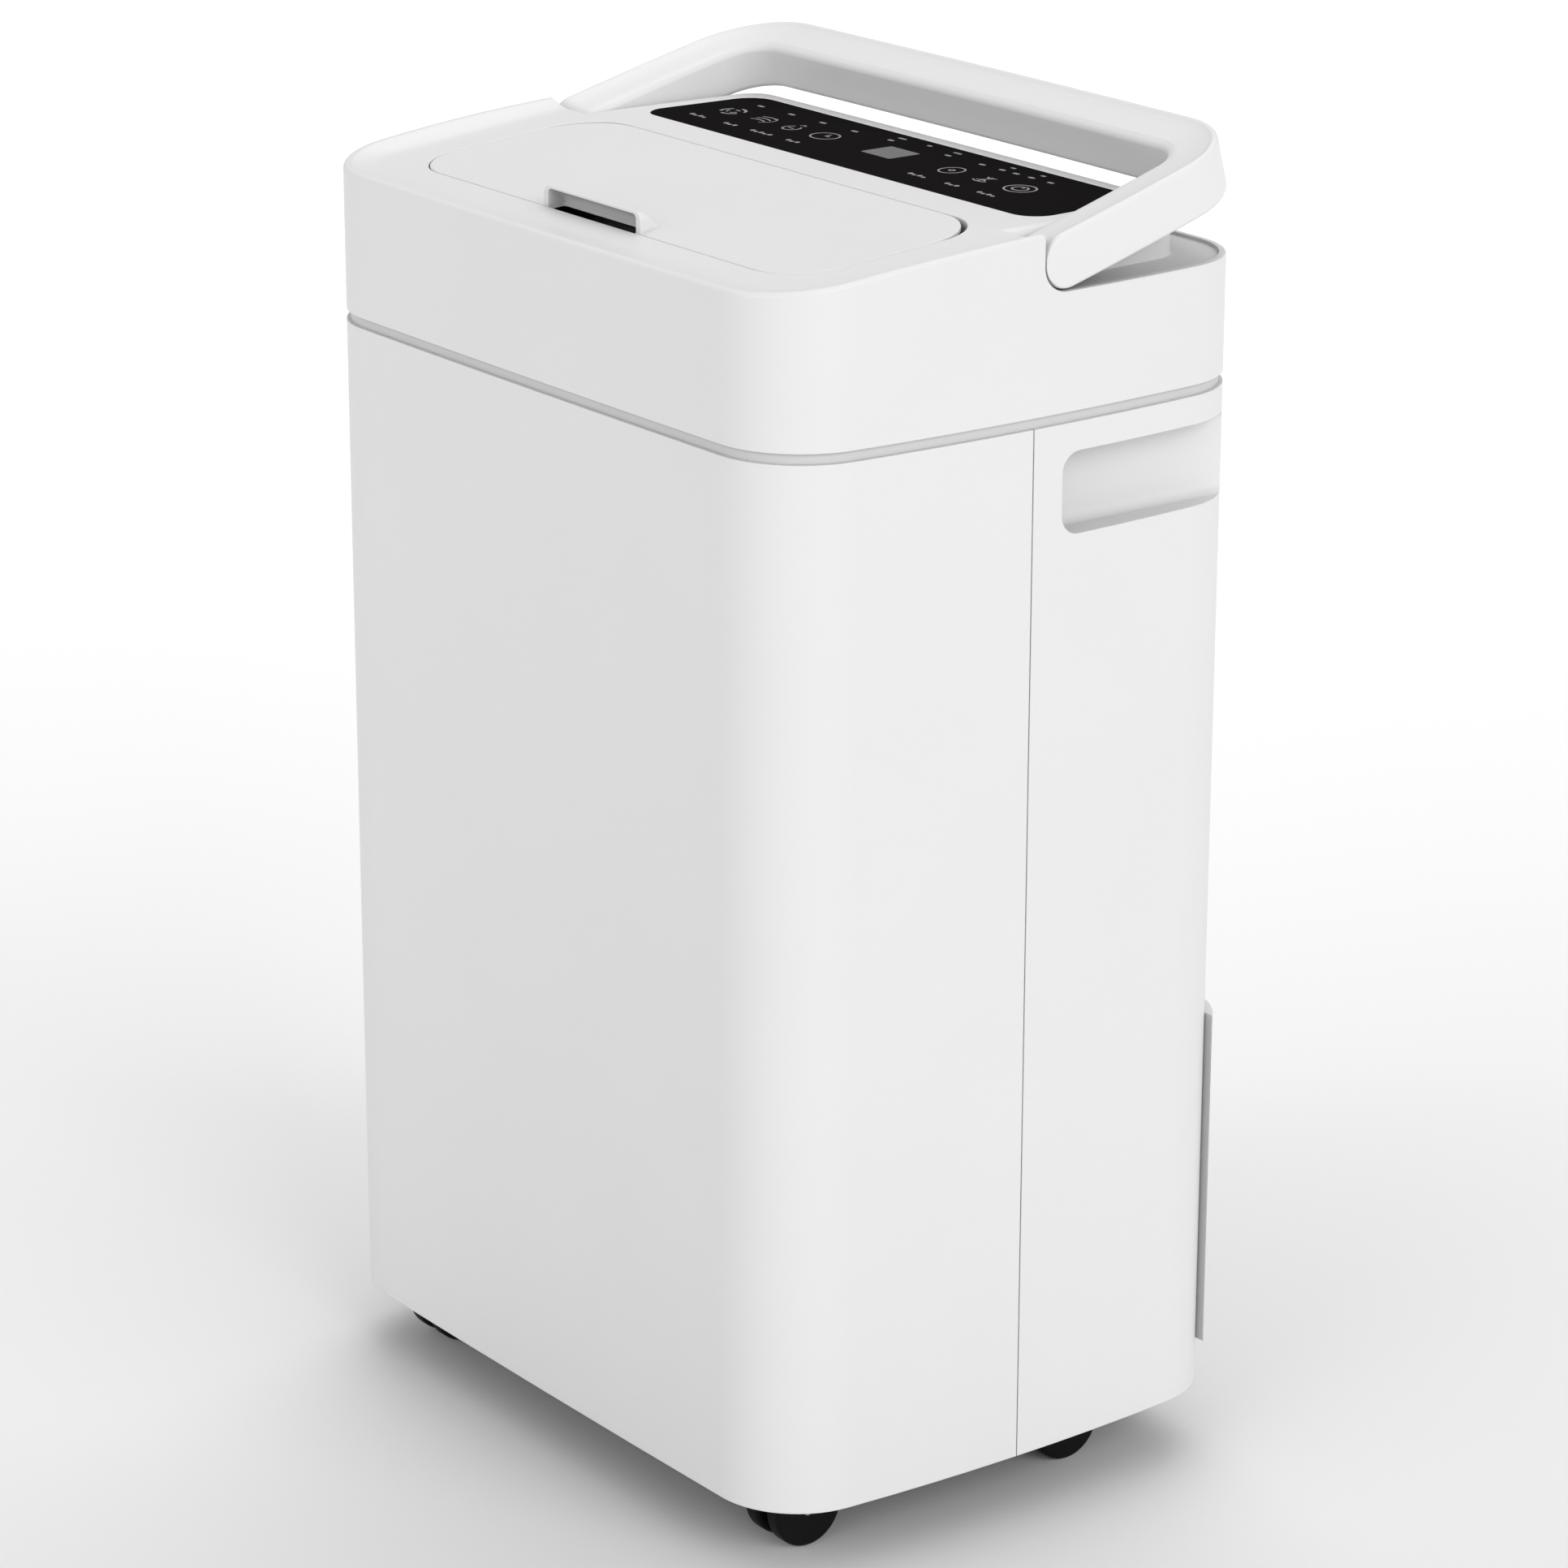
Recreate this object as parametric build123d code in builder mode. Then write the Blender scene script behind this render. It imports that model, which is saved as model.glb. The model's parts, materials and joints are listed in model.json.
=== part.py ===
"""Portable dehumidifier on casters: cabinet, carrying handle, outlet flap, rear water tank and works.

Frame: millimetres, +X to the right, +Y to the back, +Z up, floor at z = 0, origin under the
cabinet's centre. The handle is drawn folded and then raised to the angle that it rests at.
"""
from build123d import *
import os

os.makedirs("parts", exist_ok=True)

# ---------------------------------------------------------------- driving dimensions
# cabinet plan: four bowed sides and rounded corners
half_width = 172.5
side_bow = 7.17
half_depth = 128.14
front_bow = 1.36
corner_radius = 41.0
wall = 2.5

# heights above the floor
skirt_z = 30.0
body_top = 497.0
groove_height = 4.5
groove_depth = 1.75
housing_z = body_top + groove_height
ledge_z = 553.3
deck_z = 575.4            # level part of the top, round the control glass
rim_front_z = 566.0
rim_mid = (-60.0, 574.3)
rim_back_z = 578.6
deck_slope = 0.0875       # the top falls towards the front, ahead of the flap's hinge
deck_break_y = 4.0

# carrying handle
pivot_y = 17.0
pivot_z = 565.8
handle_end_radius = 11.75
handle_top = 12.2
handle_bar = 22.5
handle_rest_angle = 15.0
slot_radius = 12.5
pin_radius = 5.0
running_gap = 0.05

# island: the raised block that carries the control glass, inside the handle
island_inset = 24.0
island_y0 = 0.0
island_edge_radius = 6.5

# air outlet flap
flap_half_width = 144.0
flap_front_y = -98.0
flap_back_y = 6.0
flap_corner = 27.0
flap_gap = 0.6
flap_hinge_y = 3.3
flap_hinge_z = 574.15     # near the top face, so that the rear corners clear the opening
flap_pin_radius = 0.9
flap_rear_corner = 31.0

# control glass
glass_half_width = 140.0
glass_front_y = 28.0
glass_back_y = 92.6
glass_thickness = 1.6

# water tank
tank_z = 49.0
tank_top_z = 207.0
tank_face_y = 118.5
tank_stand_out = 3.5
bucket_z = 52.0
bucket_height = 146.0
bucket_half_width = 140.0
bucket_front_y = 26.0
bucket_wall = 2.2

# casters
caster_x = 135.0
caster_y = 73.25
caster_trail = 16.6
wheel_radius = 17.5
wheel_width = 9.0
wheel_spacing = 16.0
axle_radius = 3.0
stem_radius = 4.0

# inner works
pan_z = 42.0
pan_thickness = 3.0
chassis_z = 209.0
fan_z = 360.0
fan_radius = 78.0
coil_half_width = 105.0
coil_top = 440.0
tray_floor = 214.5

far = 400.0               # longer than the cabinet in any direction


def cabinet_plan(inset):
    """The cabinet's plan, drawn `inset` inside its skin."""
    x = half_width - inset
    y = half_depth - inset
    with BuildSketch(mode=Mode.PRIVATE) as plan:
        with BuildLine():
            ThreePointArc((-x, -y), (0, -y - front_bow), (x, -y))
            ThreePointArc((x, -y), (x + side_bow, 0), (x, y))
            ThreePointArc((x, y), (0, y + front_bow), (-x, y))
            ThreePointArc((-x, y), (-x - side_bow, 0), (-x, -y))
        make_face()
        fillet(plan.vertices(), corner_radius - inset)
    return plan.sketch


def block(x0, x1, y0, y1, z0, z1):
    """A box between two corners, made outside the builders as a tool."""
    middle = Pos((x0 + x1) / 2, (y0 + y1) / 2, (z0 + z1) / 2)
    return middle * Box(x1 - x0, y1 - y0, z1 - z0, mode=Mode.PRIVATE)


def x_rod(radius, x0, x1, y, z):
    """A round bar along X."""
    return Pos((x0 + x1) / 2, y, z) * Rot(0, 90, 0) * Cylinder(radius, x1 - x0, mode=Mode.PRIVATE)


def y_rod(radius, x, y0, y1, z):
    """A round bar along Y."""
    return Pos(x, (y0 + y1) / 2, z) * Rot(90, 0, 0) * Cylinder(radius, y1 - y0, mode=Mode.PRIVATE)


def z_rod(radius, x, y, z0, z1):
    """A round bar along Z."""
    return Pos(x, y, (z0 + z1) / 2) * Cylinder(radius, z1 - z0, mode=Mode.PRIVATE)


skin = cabinet_plan(0)
skin_inside = cabinet_plan(wall)
groove_plan = cabinet_plan(groove_depth)

# ================================================================ cabinet covers
# a grip recess has a straight inner wall, a rounded front end, and runs out at the back corner
grip_z0 = 448.4
grip_z1 = 484.3
grip_front_y = 16.0
grip_corner = 9.0
grip_wall_x = 162.0
grip_round = 5.0


def grip_tool(grow, plan):
    """Both grip recesses as one tool, grown by `grow` all round and cut to a plan."""
    with BuildPart(mode=Mode.PRIVATE) as tool:
        for side in (-1, 1):
            with BuildPart(mode=Mode.PRIVATE) as hollow:
                with BuildSketch(Plane.YZ.offset(side * (grip_wall_x - grow))):
                    with Locations((grip_front_y - grow + 100, (grip_z0 + grip_z1) / 2)):
                        RectangleRounded(200, grip_z1 - grip_z0 + 2 * grow, grip_corner + grow)
                extrude(amount=side * 40)
                inner_face = hollow.faces().filter_by(Axis.X).sort_by(Axis.X)[0 if side > 0 else -1]
                fillet(inner_face.edges(), grip_round + grow)
            add(hollow.part)
        with BuildSketch(Plane.XY.offset(grip_z0 - 30)):
            add(plan)
        extrude(amount=110, mode=Mode.INTERSECT)
    return tool.part


grip_lining = grip_tool(wall, skin_inside)
grip_space = grip_tool(0, cabinet_plan(-5))

post_radius = 7.5
post_height = 20.0
screw_radius = 2.0
front_posts = [(-110.0, -119.5), (110.0, -119.5)]
rear_posts = [(-168.5, 60.0), (168.5, 60.0)]
seam_gap = 0.5

with BuildPart() as front_cover:
    with BuildSketch(Plane.XY.offset(skirt_z)):
        add(skin)
        add(skin_inside, mode=Mode.SUBTRACT)
    extrude(amount=body_top - skirt_z)
    with BuildSketch(Plane.XY.offset(pan_z + pan_thickness)):
        with Locations(*front_posts):
            Circle(post_radius)
    extrude(amount=post_height)
    with BuildSketch(Plane.XY.offset(pan_z + pan_thickness)):
        with Locations(*front_posts):
            Circle(screw_radius)
    extrude(amount=post_height - 2, mode=Mode.SUBTRACT)
    split(bisect_by=Plane.XZ.offset(seam_gap / 2), keep=Keep.TOP)
front_cover.part.label = "front_cover"
export_step(front_cover.part, "parts/front_cover.step")

# rear cover: open at the back for the tank and for the air intake
intake_half_width = 112.0
intake_z0 = 240.0
intake_z1 = 470.0
spigot_x = 100.0
spigot_z = 219.5
cord_x = -100.0
cord_z = 222.0

with BuildPart() as rear_cover:
    with BuildSketch(Plane.XY.offset(skirt_z)):
        add(skin)
        add(skin_inside, mode=Mode.SUBTRACT)
    extrude(amount=body_top - skirt_z)
    with BuildSketch(Plane.XY.offset(pan_z + pan_thickness)):
        with Locations(*rear_posts):
            Circle(post_radius)
    extrude(amount=post_height)
    with BuildSketch(Plane.XY.offset(pan_z + pan_thickness)):
        with Locations(*rear_posts):
            Circle(screw_radius)
    extrude(amount=post_height - 2, mode=Mode.SUBTRACT)
    split(bisect_by=Plane.XZ.offset(-seam_gap / 2), keep=Keep.BOTTOM)
    add(grip_lining)
    add(grip_space, mode=Mode.SUBTRACT)
    add(block(-far, far, tank_face_y - 0.3, far, tank_z - 0.5, tank_top_z + 0.5), mode=Mode.SUBTRACT)
    add(block(-intake_half_width, intake_half_width, 100, far, intake_z0, intake_z1), mode=Mode.SUBTRACT)
    add(y_rod(11.5, spigot_x, 100, 200, spigot_z), mode=Mode.SUBTRACT)
    add(y_rod(7.0, cord_x, 100, 200, cord_z), mode=Mode.SUBTRACT)
rear_cover.part.label = "rear_cover"
export_step(rear_cover.part, "parts/rear_cover.step")

# base pan with caster sockets and tank rails
socket_radius = 9.0
socket_z = 39.0
socket_top = 51.0
stem_top = 49.0
caster_spots = [(sx * caster_x, sy * caster_y) for sy in (-1, 1) for sx in (-1, 1)]

with BuildPart() as base_pan:
    with BuildSketch(Plane.XY.offset(pan_z)):
        add(skin_inside)
    extrude(amount=pan_thickness)
    with BuildSketch(Plane.XY.offset(socket_z)):
        with Locations(*caster_spots):
            Circle(socket_radius)
    extrude(amount=socket_top - socket_z)
    with BuildSketch(Plane.XY.offset(pan_z)):
        with Locations((-100, 66), (100, 66)):
            Rectangle(12, 90)
    extrude(amount=bucket_z - 0.3 - pan_z)
    with BuildSketch(Plane.XY.offset(socket_z)):
        with Locations(*caster_spots):
            Circle(stem_radius + running_gap)
    extrude(amount=stem_top + 0.5 - socket_z, mode=Mode.SUBTRACT)
    with BuildSketch(Plane.XY.offset(pan_z)):
        with Locations(*front_posts, *rear_posts):
            Circle(screw_radius + 0.2)
    extrude(amount=pan_thickness, mode=Mode.SUBTRACT)
base_pan.part.label = "base_pan"
export_step(base_pan.part, "parts/base_pan.step")

with BuildPart() as base_screws:
    with BuildSketch(Plane.XY.offset(pan_z - 2.4)):
        with Locations(*front_posts, *rear_posts):
            Circle(3.8)
    extrude(amount=2.4)
    with BuildSketch(Plane.XY.offset(pan_z)):
        with Locations(*front_posts, *rear_posts):
            Circle(screw_radius)
    extrude(amount=post_height - 4)
    with BuildSketch(Plane.XY.offset(pan_z - 2.4)):
        with Locations(*front_posts, *rear_posts):
            Rectangle(4.4, 0.9)
            Rectangle(0.9, 4.4)
    extrude(amount=1.2, mode=Mode.SUBTRACT)
base_screws.part.label = "base_screws"
export_step(base_screws.part, "parts/base_screws.step")

# middle deck: its edge shows at the bottom of the groove under the top housing
duct_x0 = 10.0
duct_x1 = 92.0
duct_y0 = -63.0
duct_y1 = -9.0

with BuildPart() as mid_deck:
    with BuildSketch(Plane.XY.offset(body_top)):
        add(groove_plan)
        with Locations(((duct_x0 + duct_x1) / 2, (duct_y0 + duct_y1) / 2)):
            Rectangle(duct_x1 - duct_x0, duct_y1 - duct_y0, mode=Mode.SUBTRACT)
        with Locations((-60, 60), (60, 60)):
            RectangleRounded(80, 60, 8, mode=Mode.SUBTRACT)
    extrude(amount=groove_height)
mid_deck.part.label = "mid_deck"
export_step(mid_deck.part, "parts/mid_deck.step")

# ================================================================ top housing
slot_front_y = pivot_y - slot_radius
deck_front_y = -140.0
deck_front_z = deck_z + deck_slope * (deck_front_y - deck_break_y)


def deck_profile(drop):
    """Side view of the space under the top's deck surface, lowered by `drop`."""
    with BuildSketch(Plane.YZ, mode=Mode.PRIVATE) as profile:
        with BuildLine():
            Polyline(
                (deck_front_y, 490),
                (deck_front_y, deck_front_z - drop),
                (deck_break_y - drop, deck_z - drop),
                (slot_front_y - drop, deck_z - drop),
                (slot_front_y - drop, 490),
                close=True,
            )
        make_face()
    return profile.sketch_local


def back_profile(drop):
    """Side view of the housing behind the slot wall, under the handle."""
    with BuildSketch(Plane.YZ, mode=Mode.PRIVATE) as profile:
        with Locations(((200 + slot_front_y - drop) / 2 - 1, (ledge_z - drop + 490) / 2)):
            Rectangle(200 - slot_front_y + drop + 2, ledge_z - drop - 490)
    return profile.sketch_local


def solid_under(plan, z0, profile):
    """The part of a plan, raised from z0, that lies inside a side view."""
    with BuildPart(mode=Mode.PRIVATE) as body:
        with BuildSketch(Plane.XY.offset(z0)):
            add(plan)
        extrude(amount=120)
        with BuildSketch(Plane.YZ):
            add(profile)
        extrude(amount=far, both=True, mode=Mode.INTERSECT)
    return body.part


with BuildSketch(Plane.YZ) as rim_profile:
    with BuildLine():
        ThreePointArc((-129.5, rim_front_z), rim_mid, (slot_front_y, rim_back_z))
        Polyline(
            (slot_front_y, rim_back_z),
            (slot_front_y, 480),
            (-160, 480),
            (-160, rim_front_z - 2),
            (-129.5, rim_front_z),
        )
    make_face()

with BuildSketch(Plane.YZ) as slot_corner:
    with Locations((pivot_y - slot_radius / 2, pivot_z - slot_radius / 2)):
        Rectangle(slot_radius, slot_radius)
    with Locations((pivot_y, pivot_z)):
        Circle(slot_radius, mode=Mode.SUBTRACT)

with BuildSketch(Plane.YZ) as island_profile:
    with Locations((island_y0 + 60, (deck_z + 490) / 2)):
        Rectangle(120, deck_z - 490)

with BuildSketch(Plane.YZ) as island_void_profile:
    with Locations((50, (deck_z - wall + 490) / 2)):
        Rectangle(200, deck_z - wall - 490)

dish_plan = cabinet_plan(9.0)
island_plan = cabinet_plan(island_inset)
island_void_plan = cabinet_plan(island_inset + wall)
island_body = solid_under(island_plan, housing_z, island_profile.sketch_local)
island_top = island_body.faces().sort_by(Axis.Z)[-1]
island_body = fillet(
    [e for e in island_top.edges() if e.center().Y > slot_front_y + 4], island_edge_radius
)

flap_y = (flap_front_y + flap_back_y) / 2
flap_depth = flap_back_y - flap_front_y
knuckle_half = 2.6
knuckle_x = 107.0
knuckle_radius = 2.2

with BuildPart() as flap_knuckles:
    for side in (-1, 1):
        x0 = side * knuckle_x - knuckle_half
        x1 = side * knuckle_x + knuckle_half
        add(x_rod(knuckle_radius, x0, x1, flap_hinge_y, flap_hinge_z))
        add(block(x0, x1, flap_hinge_y, flap_back_y + 0.5, flap_hinge_z - knuckle_radius, deck_z))
        add(block(x0, x1, -10, 20, deck_z, deck_z + 5), mode=Mode.SUBTRACT)
        add(x_rod(flap_pin_radius + running_gap, x0, x1, flap_hinge_y, flap_hinge_z), mode=Mode.SUBTRACT)

# the flap's well hangs from the deck, its walls running 1 mm below the deck's face
well_z = 549.0
with BuildSketch() as well_plan:
    with Locations((0, flap_y)):
        RectangleRounded(2 * flap_half_width + 2 * wall, flap_depth + 2 * wall, flap_corner + wall)

with BuildSketch(Plane.YZ) as well_profile:
    with BuildLine():
        Polyline(
            (deck_front_y, well_z),
            (deck_front_y, deck_front_z - 1),
            (deck_break_y, deck_z - 1),
            (flap_back_y + 10, deck_z - 1),
            (flap_back_y + 10, well_z),
            close=True,
        )
    make_face()

with BuildPart() as top_housing:
    add(solid_under(skin, housing_z, rim_profile.sketch_local))
    add(solid_under(dish_plan, deck_z - 40, rim_profile.sketch_local)
        - solid_under(dish_plan, deck_z - 40, deck_profile(0)), mode=Mode.SUBTRACT)
    add(solid_under(skin, housing_z, back_profile(0)))
    add(solid_under(skin, housing_z, slot_corner.sketch_local))
    add(solid_under(skin_inside, housing_z, deck_profile(wall)), mode=Mode.SUBTRACT)
    add(solid_under(skin_inside, housing_z, back_profile(wall)), mode=Mode.SUBTRACT)
    add(island_body)
    add(solid_under(island_void_plan, housing_z, island_void_profile.sketch_local)
        & block(-far, far, island_y0 - 0.1, far, housing_z, deck_z), mode=Mode.SUBTRACT)
    # the well that the flap closes
    add(solid_under(well_plan.sketch, well_z, well_profile.sketch_local))
    with BuildSketch(Plane.XY.offset(well_z)):
        with Locations((0, flap_y)):
            RectangleRounded(2 * flap_half_width, flap_depth, flap_corner)
    extrude(amount=60, mode=Mode.SUBTRACT)
    add(flap_knuckles.part)
    # seat and window of the control glass
    with BuildSketch(Plane.XY.offset(deck_z - glass_thickness)):
        with Locations((0, (glass_front_y + glass_back_y) / 2)):
            RectangleRounded(2 * glass_half_width + 0.4, glass_back_y - glass_front_y + 0.4, 12.2)
    extrude(amount=10, mode=Mode.SUBTRACT)
    add(block(-122, 122, 38, 84, deck_z - 10, deck_z), mode=Mode.SUBTRACT)
    # handle bearings
    for side in (-1, 1):
        inner = side * 144.0
        outer = side * 155.0
        add(x_rod(9.0, min(inner, outer), max(inner, outer), pivot_y, pivot_z))
    add(x_rod(pin_radius + running_gap, -far / 2, far / 2, pivot_y, pivot_z), mode=Mode.SUBTRACT)
top_housing.part.label = "top_housing"
export_step(top_housing.part, "parts/top_housing.step")

# ================================================================ carrying handle
bar_split_z = 575.0
with BuildSketch(Plane.YZ) as handle_side:
    with BuildLine():
        ThreePointArc(
            (pivot_y, pivot_z - handle_end_radius),
            (pivot_y - handle_end_radius, pivot_z),
            (pivot_y, pivot_z + handle_end_radius),
        )
        Polyline(
            (pivot_y, pivot_z + handle_end_radius),
            (pivot_y + 25, pivot_z + handle_top),
            (150, pivot_z + handle_top),
            (150, pivot_z - handle_end_radius),
            (pivot_y, pivot_z - handle_end_radius),
        )
    make_face()

with BuildSketch() as handle_plan:
    add(skin)
    add(cabinet_plan(handle_bar), mode=Mode.SUBTRACT)

handle_axis = Axis((0, pivot_y, pivot_z), (1, 0, 0))
handle_solid = solid_under(handle_plan.sketch, ledge_z - 20, handle_side.sketch_local)
handle_solid = handle_solid & block(-far, far, 0, far, 500, 650)
handle_solid = handle_solid - x_rod(pin_radius, -176, 176, pivot_y, pivot_z)
handle_top_half = handle_solid & block(-far, far, 0, far, bar_split_z, 650)
handle_low_half = handle_solid & block(-far, far, 0, far, 500, bar_split_z)

with BuildPart() as handle_lower:
    add(handle_low_half.rotate(handle_axis, handle_rest_angle))
handle_lower.part.label = "handle_lower"
export_step(handle_lower.part, "parts/handle_lower.step")

with BuildPart() as handle_upper:
    add(handle_top_half.rotate(handle_axis, handle_rest_angle))
handle_upper.part.label = "handle_upper"
export_step(handle_upper.part, "parts/handle_upper.step")

with BuildPart() as handle_pins:
    for x0, x1 in ((-176, -145), (145, 176)):
        add(x_rod(pin_radius, x0, x1, pivot_y, pivot_z))
handle_pins.part.label = "handle_pins"
export_step(handle_pins.part, "parts/handle_pins.step")

# ================================================================ control glass and electronics
glass_y = (glass_front_y + glass_back_y) / 2
with BuildPart() as control_glass:
    with BuildSketch(Plane.XY.offset(deck_z - glass_thickness)):
        with Locations((0, glass_y)):
            RectangleRounded(2 * glass_half_width, glass_back_y - glass_front_y, 12)
    extrude(amount=glass_thickness)
control_glass.part.label = "control_glass"
export_step(control_glass.part, "parts/control_glass.step")

board_z = 562.0
display_x = 10.0
display_y = 63.3
key_xs = [-115.5, -92.4, -69.3, -46.2, 46.2, 69.3, 92.4]
key_y = 62.0

with BuildPart() as control_board:
    add(block(-121, 121, 39, 83, board_z, board_z + 1.6))
    with Locations((-100, 50, board_z + 4), (60, 50, board_z + 4)):
        Box(14, 8, 5)
    with Locations(*[(x, key_y, board_z + 6) for x in key_xs]):
        Cylinder(4.0, 9.0)
control_board.part.label = "control_board"
export_step(control_board.part, "parts/control_board.step")

with BuildPart() as display_module:
    add(block(-display_x, display_x, display_y - 8.7, display_y + 8.7, board_z + 1.6, board_z + 11.2))
display_module.part.label = "display_module"
export_step(display_module.part, "parts/display_module.step")

# ================================================================ air outlet
grille_z = 549.5
grille_thickness = 5.0
slat_pitch = 9.5
slat_count = 9
with BuildPart() as outlet_grille:
    with BuildSketch(Plane.XY.offset(grille_z)):
        with Locations((0, flap_y)):
            RectangleRounded(2 * flap_half_width - 0.8, flap_depth - 0.8, flap_corner - 0.4)
        with Locations((0, flap_y)):
            with GridLocations(82, slat_pitch, 3, slat_count):
                SlotOverall(76, 6.0, mode=Mode.SUBTRACT)
    extrude(amount=grille_thickness)
outlet_grille.part.label = "outlet_grille"
export_step(outlet_grille.part, "parts/outlet_grille.step")

duct_z1 = grille_z
duct_wall = 1.5


def duct_shape(grow):
    """The outlet duct's form, widening from the fan to the grille."""
    with BuildPart(mode=Mode.PRIVATE) as duct:
        with BuildSketch(Plane.XY.offset(housing_z)):
            with Locations(((duct_x0 + duct_x1) / 2, (duct_y0 + duct_y1) / 2)):
                Rectangle(duct_x1 - duct_x0 + 2 * grow, duct_y1 - duct_y0 + 2 * grow)
        with BuildSketch(Plane.XY.offset(duct_z1)):
            with Locations((0, flap_y)):
                Rectangle(252 + 2 * grow, 86 + 2 * grow)
        loft()
    return duct.part


with BuildPart() as outlet_duct:
    add(duct_shape(duct_wall))
    add(duct_shape(0), mode=Mode.SUBTRACT)
outlet_duct.part.label = "outlet_duct"
export_step(outlet_duct.part, "parts/outlet_duct.step")

# flap: drawn level under the deck's sloping line by its side view
hood_half = 36.0
hood_height = 8.7
hood_length = 12.0
hood_mouth_depth = 8.9
hood_wall = 1.8
flap_thickness = 1.8
flap_y0 = flap_front_y + flap_gap
flap_y1 = flap_hinge_y + 1.8


def on_deck(y):
    """Height of the deck's surface at y."""
    return deck_z + deck_slope * min(0.0, y - deck_break_y)


def flap_profile(top, bottom):
    """Side view of a layer between two heights measured from the deck's surface."""
    ys = (-120.0, deck_break_y, 30.0)
    with BuildSketch(Plane.YZ, mode=Mode.PRIVATE) as profile:
        with BuildLine():
            Polyline(
                *[(y, on_deck(y) + top) for y in ys],
                *[(y, on_deck(y) + bottom) for y in reversed(ys)],
                close=True,
            )
        make_face()
    return profile.sketch_local


# the rear corners are rounder than the opening's, so that they clear it as the flap lifts
flap_x = flap_half_width - flap_gap
with BuildSketch() as flap_plan:
    with Locations((0, (flap_y0 + flap_y1) / 2)):
        RectangleRounded(2 * flap_x, flap_y1 - flap_y0, flap_corner - flap_gap)
    with Locations((0, flap_y1 - 100)):
        RectangleRounded(2 * flap_x, 200, flap_rear_corner, mode=Mode.INTERSECT)

with BuildSketch(Plane.YZ) as hood_side:
    with BuildLine():
        Polyline(
            (flap_y0, on_deck(flap_y0) - flap_thickness),
            (flap_y0, on_deck(flap_y0) + hood_height),
            (flap_y0 + 3, on_deck(flap_y0 + 3) + 8.4),
            (flap_y0 + 6, on_deck(flap_y0 + 6) + 6.8),
            (flap_y0 + 9, on_deck(flap_y0 + 9) + 4.3),
            (flap_y0 + hood_length, on_deck(flap_y0 + hood_length)),
            (flap_y0 + hood_length, on_deck(flap_y0 + hood_length) - flap_thickness),
            close=True,
        )
    make_face()

with BuildSketch(Plane.YZ) as hood_mouth:
    with BuildLine():
        Polyline(
            (flap_y0 - 1, on_deck(flap_y0) - flap_thickness - 1),
            (flap_y0 - 1, on_deck(flap_y0) + hood_height - hood_wall),
            (flap_y0 + 3.5, on_deck(flap_y0) + hood_height - hood_wall - 0.2),
            (flap_y0 + 6.5, on_deck(flap_y0 + 6.5) + 4.6),
            (flap_y0 + hood_mouth_depth, on_deck(flap_y0 + hood_mouth_depth) + 1),
            (flap_y0 + hood_mouth_depth, on_deck(flap_y0 + hood_mouth_depth) - flap_thickness - 1),
            close=True,
        )
    make_face()

flap_pin_half = 9.0
with BuildPart() as outlet_flap:
    add(solid_under(flap_plan.sketch, deck_z - 30, flap_profile(0, -flap_thickness)))
    with BuildSketch(Plane.YZ):
        add(hood_side.sketch_local)
    extrude(amount=hood_half, both=True)
    with BuildSketch(Plane.YZ):
        add(hood_mouth.sketch_local)
    extrude(amount=hood_half - hood_wall, both=True, mode=Mode.SUBTRACT)
    for side in (-1, 1):
        middle = side * knuckle_x
        lug_x0, lug_x1 = middle - flap_pin_half, middle + flap_pin_half
        add(block(lug_x0, lug_x1, 1.6, flap_y1, flap_hinge_z - 2.2, deck_z - 1))
        add(block(middle - 3.2, middle + 3.2, -1.2, 20, 560, 590), mode=Mode.SUBTRACT)
        add(x_rod(flap_pin_radius, lug_x0, lug_x1, flap_hinge_y, flap_hinge_z), mode=Mode.SUBTRACT)
outlet_flap.part.label = "outlet_flap"
export_step(outlet_flap.part, "parts/outlet_flap.step")

with BuildPart() as flap_pins:
    for side in (-1, 1):
        middle = side * knuckle_x
        lug_x0, lug_x1 = middle - flap_pin_half, middle + flap_pin_half
        add(x_rod(flap_pin_radius, lug_x0, lug_x1, flap_hinge_y, flap_hinge_z))
flap_pins.part.label = "flap_pins"
export_step(flap_pins.part, "parts/flap_pins.step")

# ================================================================ air intake
intake_gap = 0.4
intake_frame_y = 121.0
mesh_thickness = 1.2
intake_z = (intake_z0 + intake_z1) / 2
intake_height = intake_z1 - intake_z0 - 2 * intake_gap
intake_width = 2 * (intake_half_width - intake_gap)

with BuildPart() as intake_grille:
    with BuildSketch(Plane.XZ.offset(-intake_frame_y)):
        with Locations((0, intake_z)):
            Rectangle(intake_width, intake_height)
            with GridLocations(70, 10, 3, 21):
                SlotOverall(64, 6.4, mode=Mode.SUBTRACT)
    extrude(amount=-12)
    with BuildSketch(Plane.XY.offset(intake_z0 - 10)):
        add(skin)
    extrude(amount=260, mode=Mode.INTERSECT)
    # seat of the filter in the grille's inner face
    seat_y = intake_frame_y + mesh_thickness
    add(block(-103, 103, 100, seat_y, intake_z0 + 10, intake_z1 - 10), mode=Mode.SUBTRACT)
intake_grille.part.label = "intake_grille"
export_step(intake_grille.part, "parts/intake_grille.step")

with BuildPart() as filter_mesh:
    add(block(-102.7, 102.7, intake_frame_y, seat_y, intake_z0 + 10.3, intake_z1 - 10.3))
filter_mesh.part.label = "filter_mesh"
export_step(filter_mesh.part, "parts/filter_mesh.step")

# ================================================================ water tank
bucket_y = (bucket_front_y + tank_face_y) / 2
bucket_depth = tank_face_y - bucket_front_y
bucket_top = bucket_z + bucket_height

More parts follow.
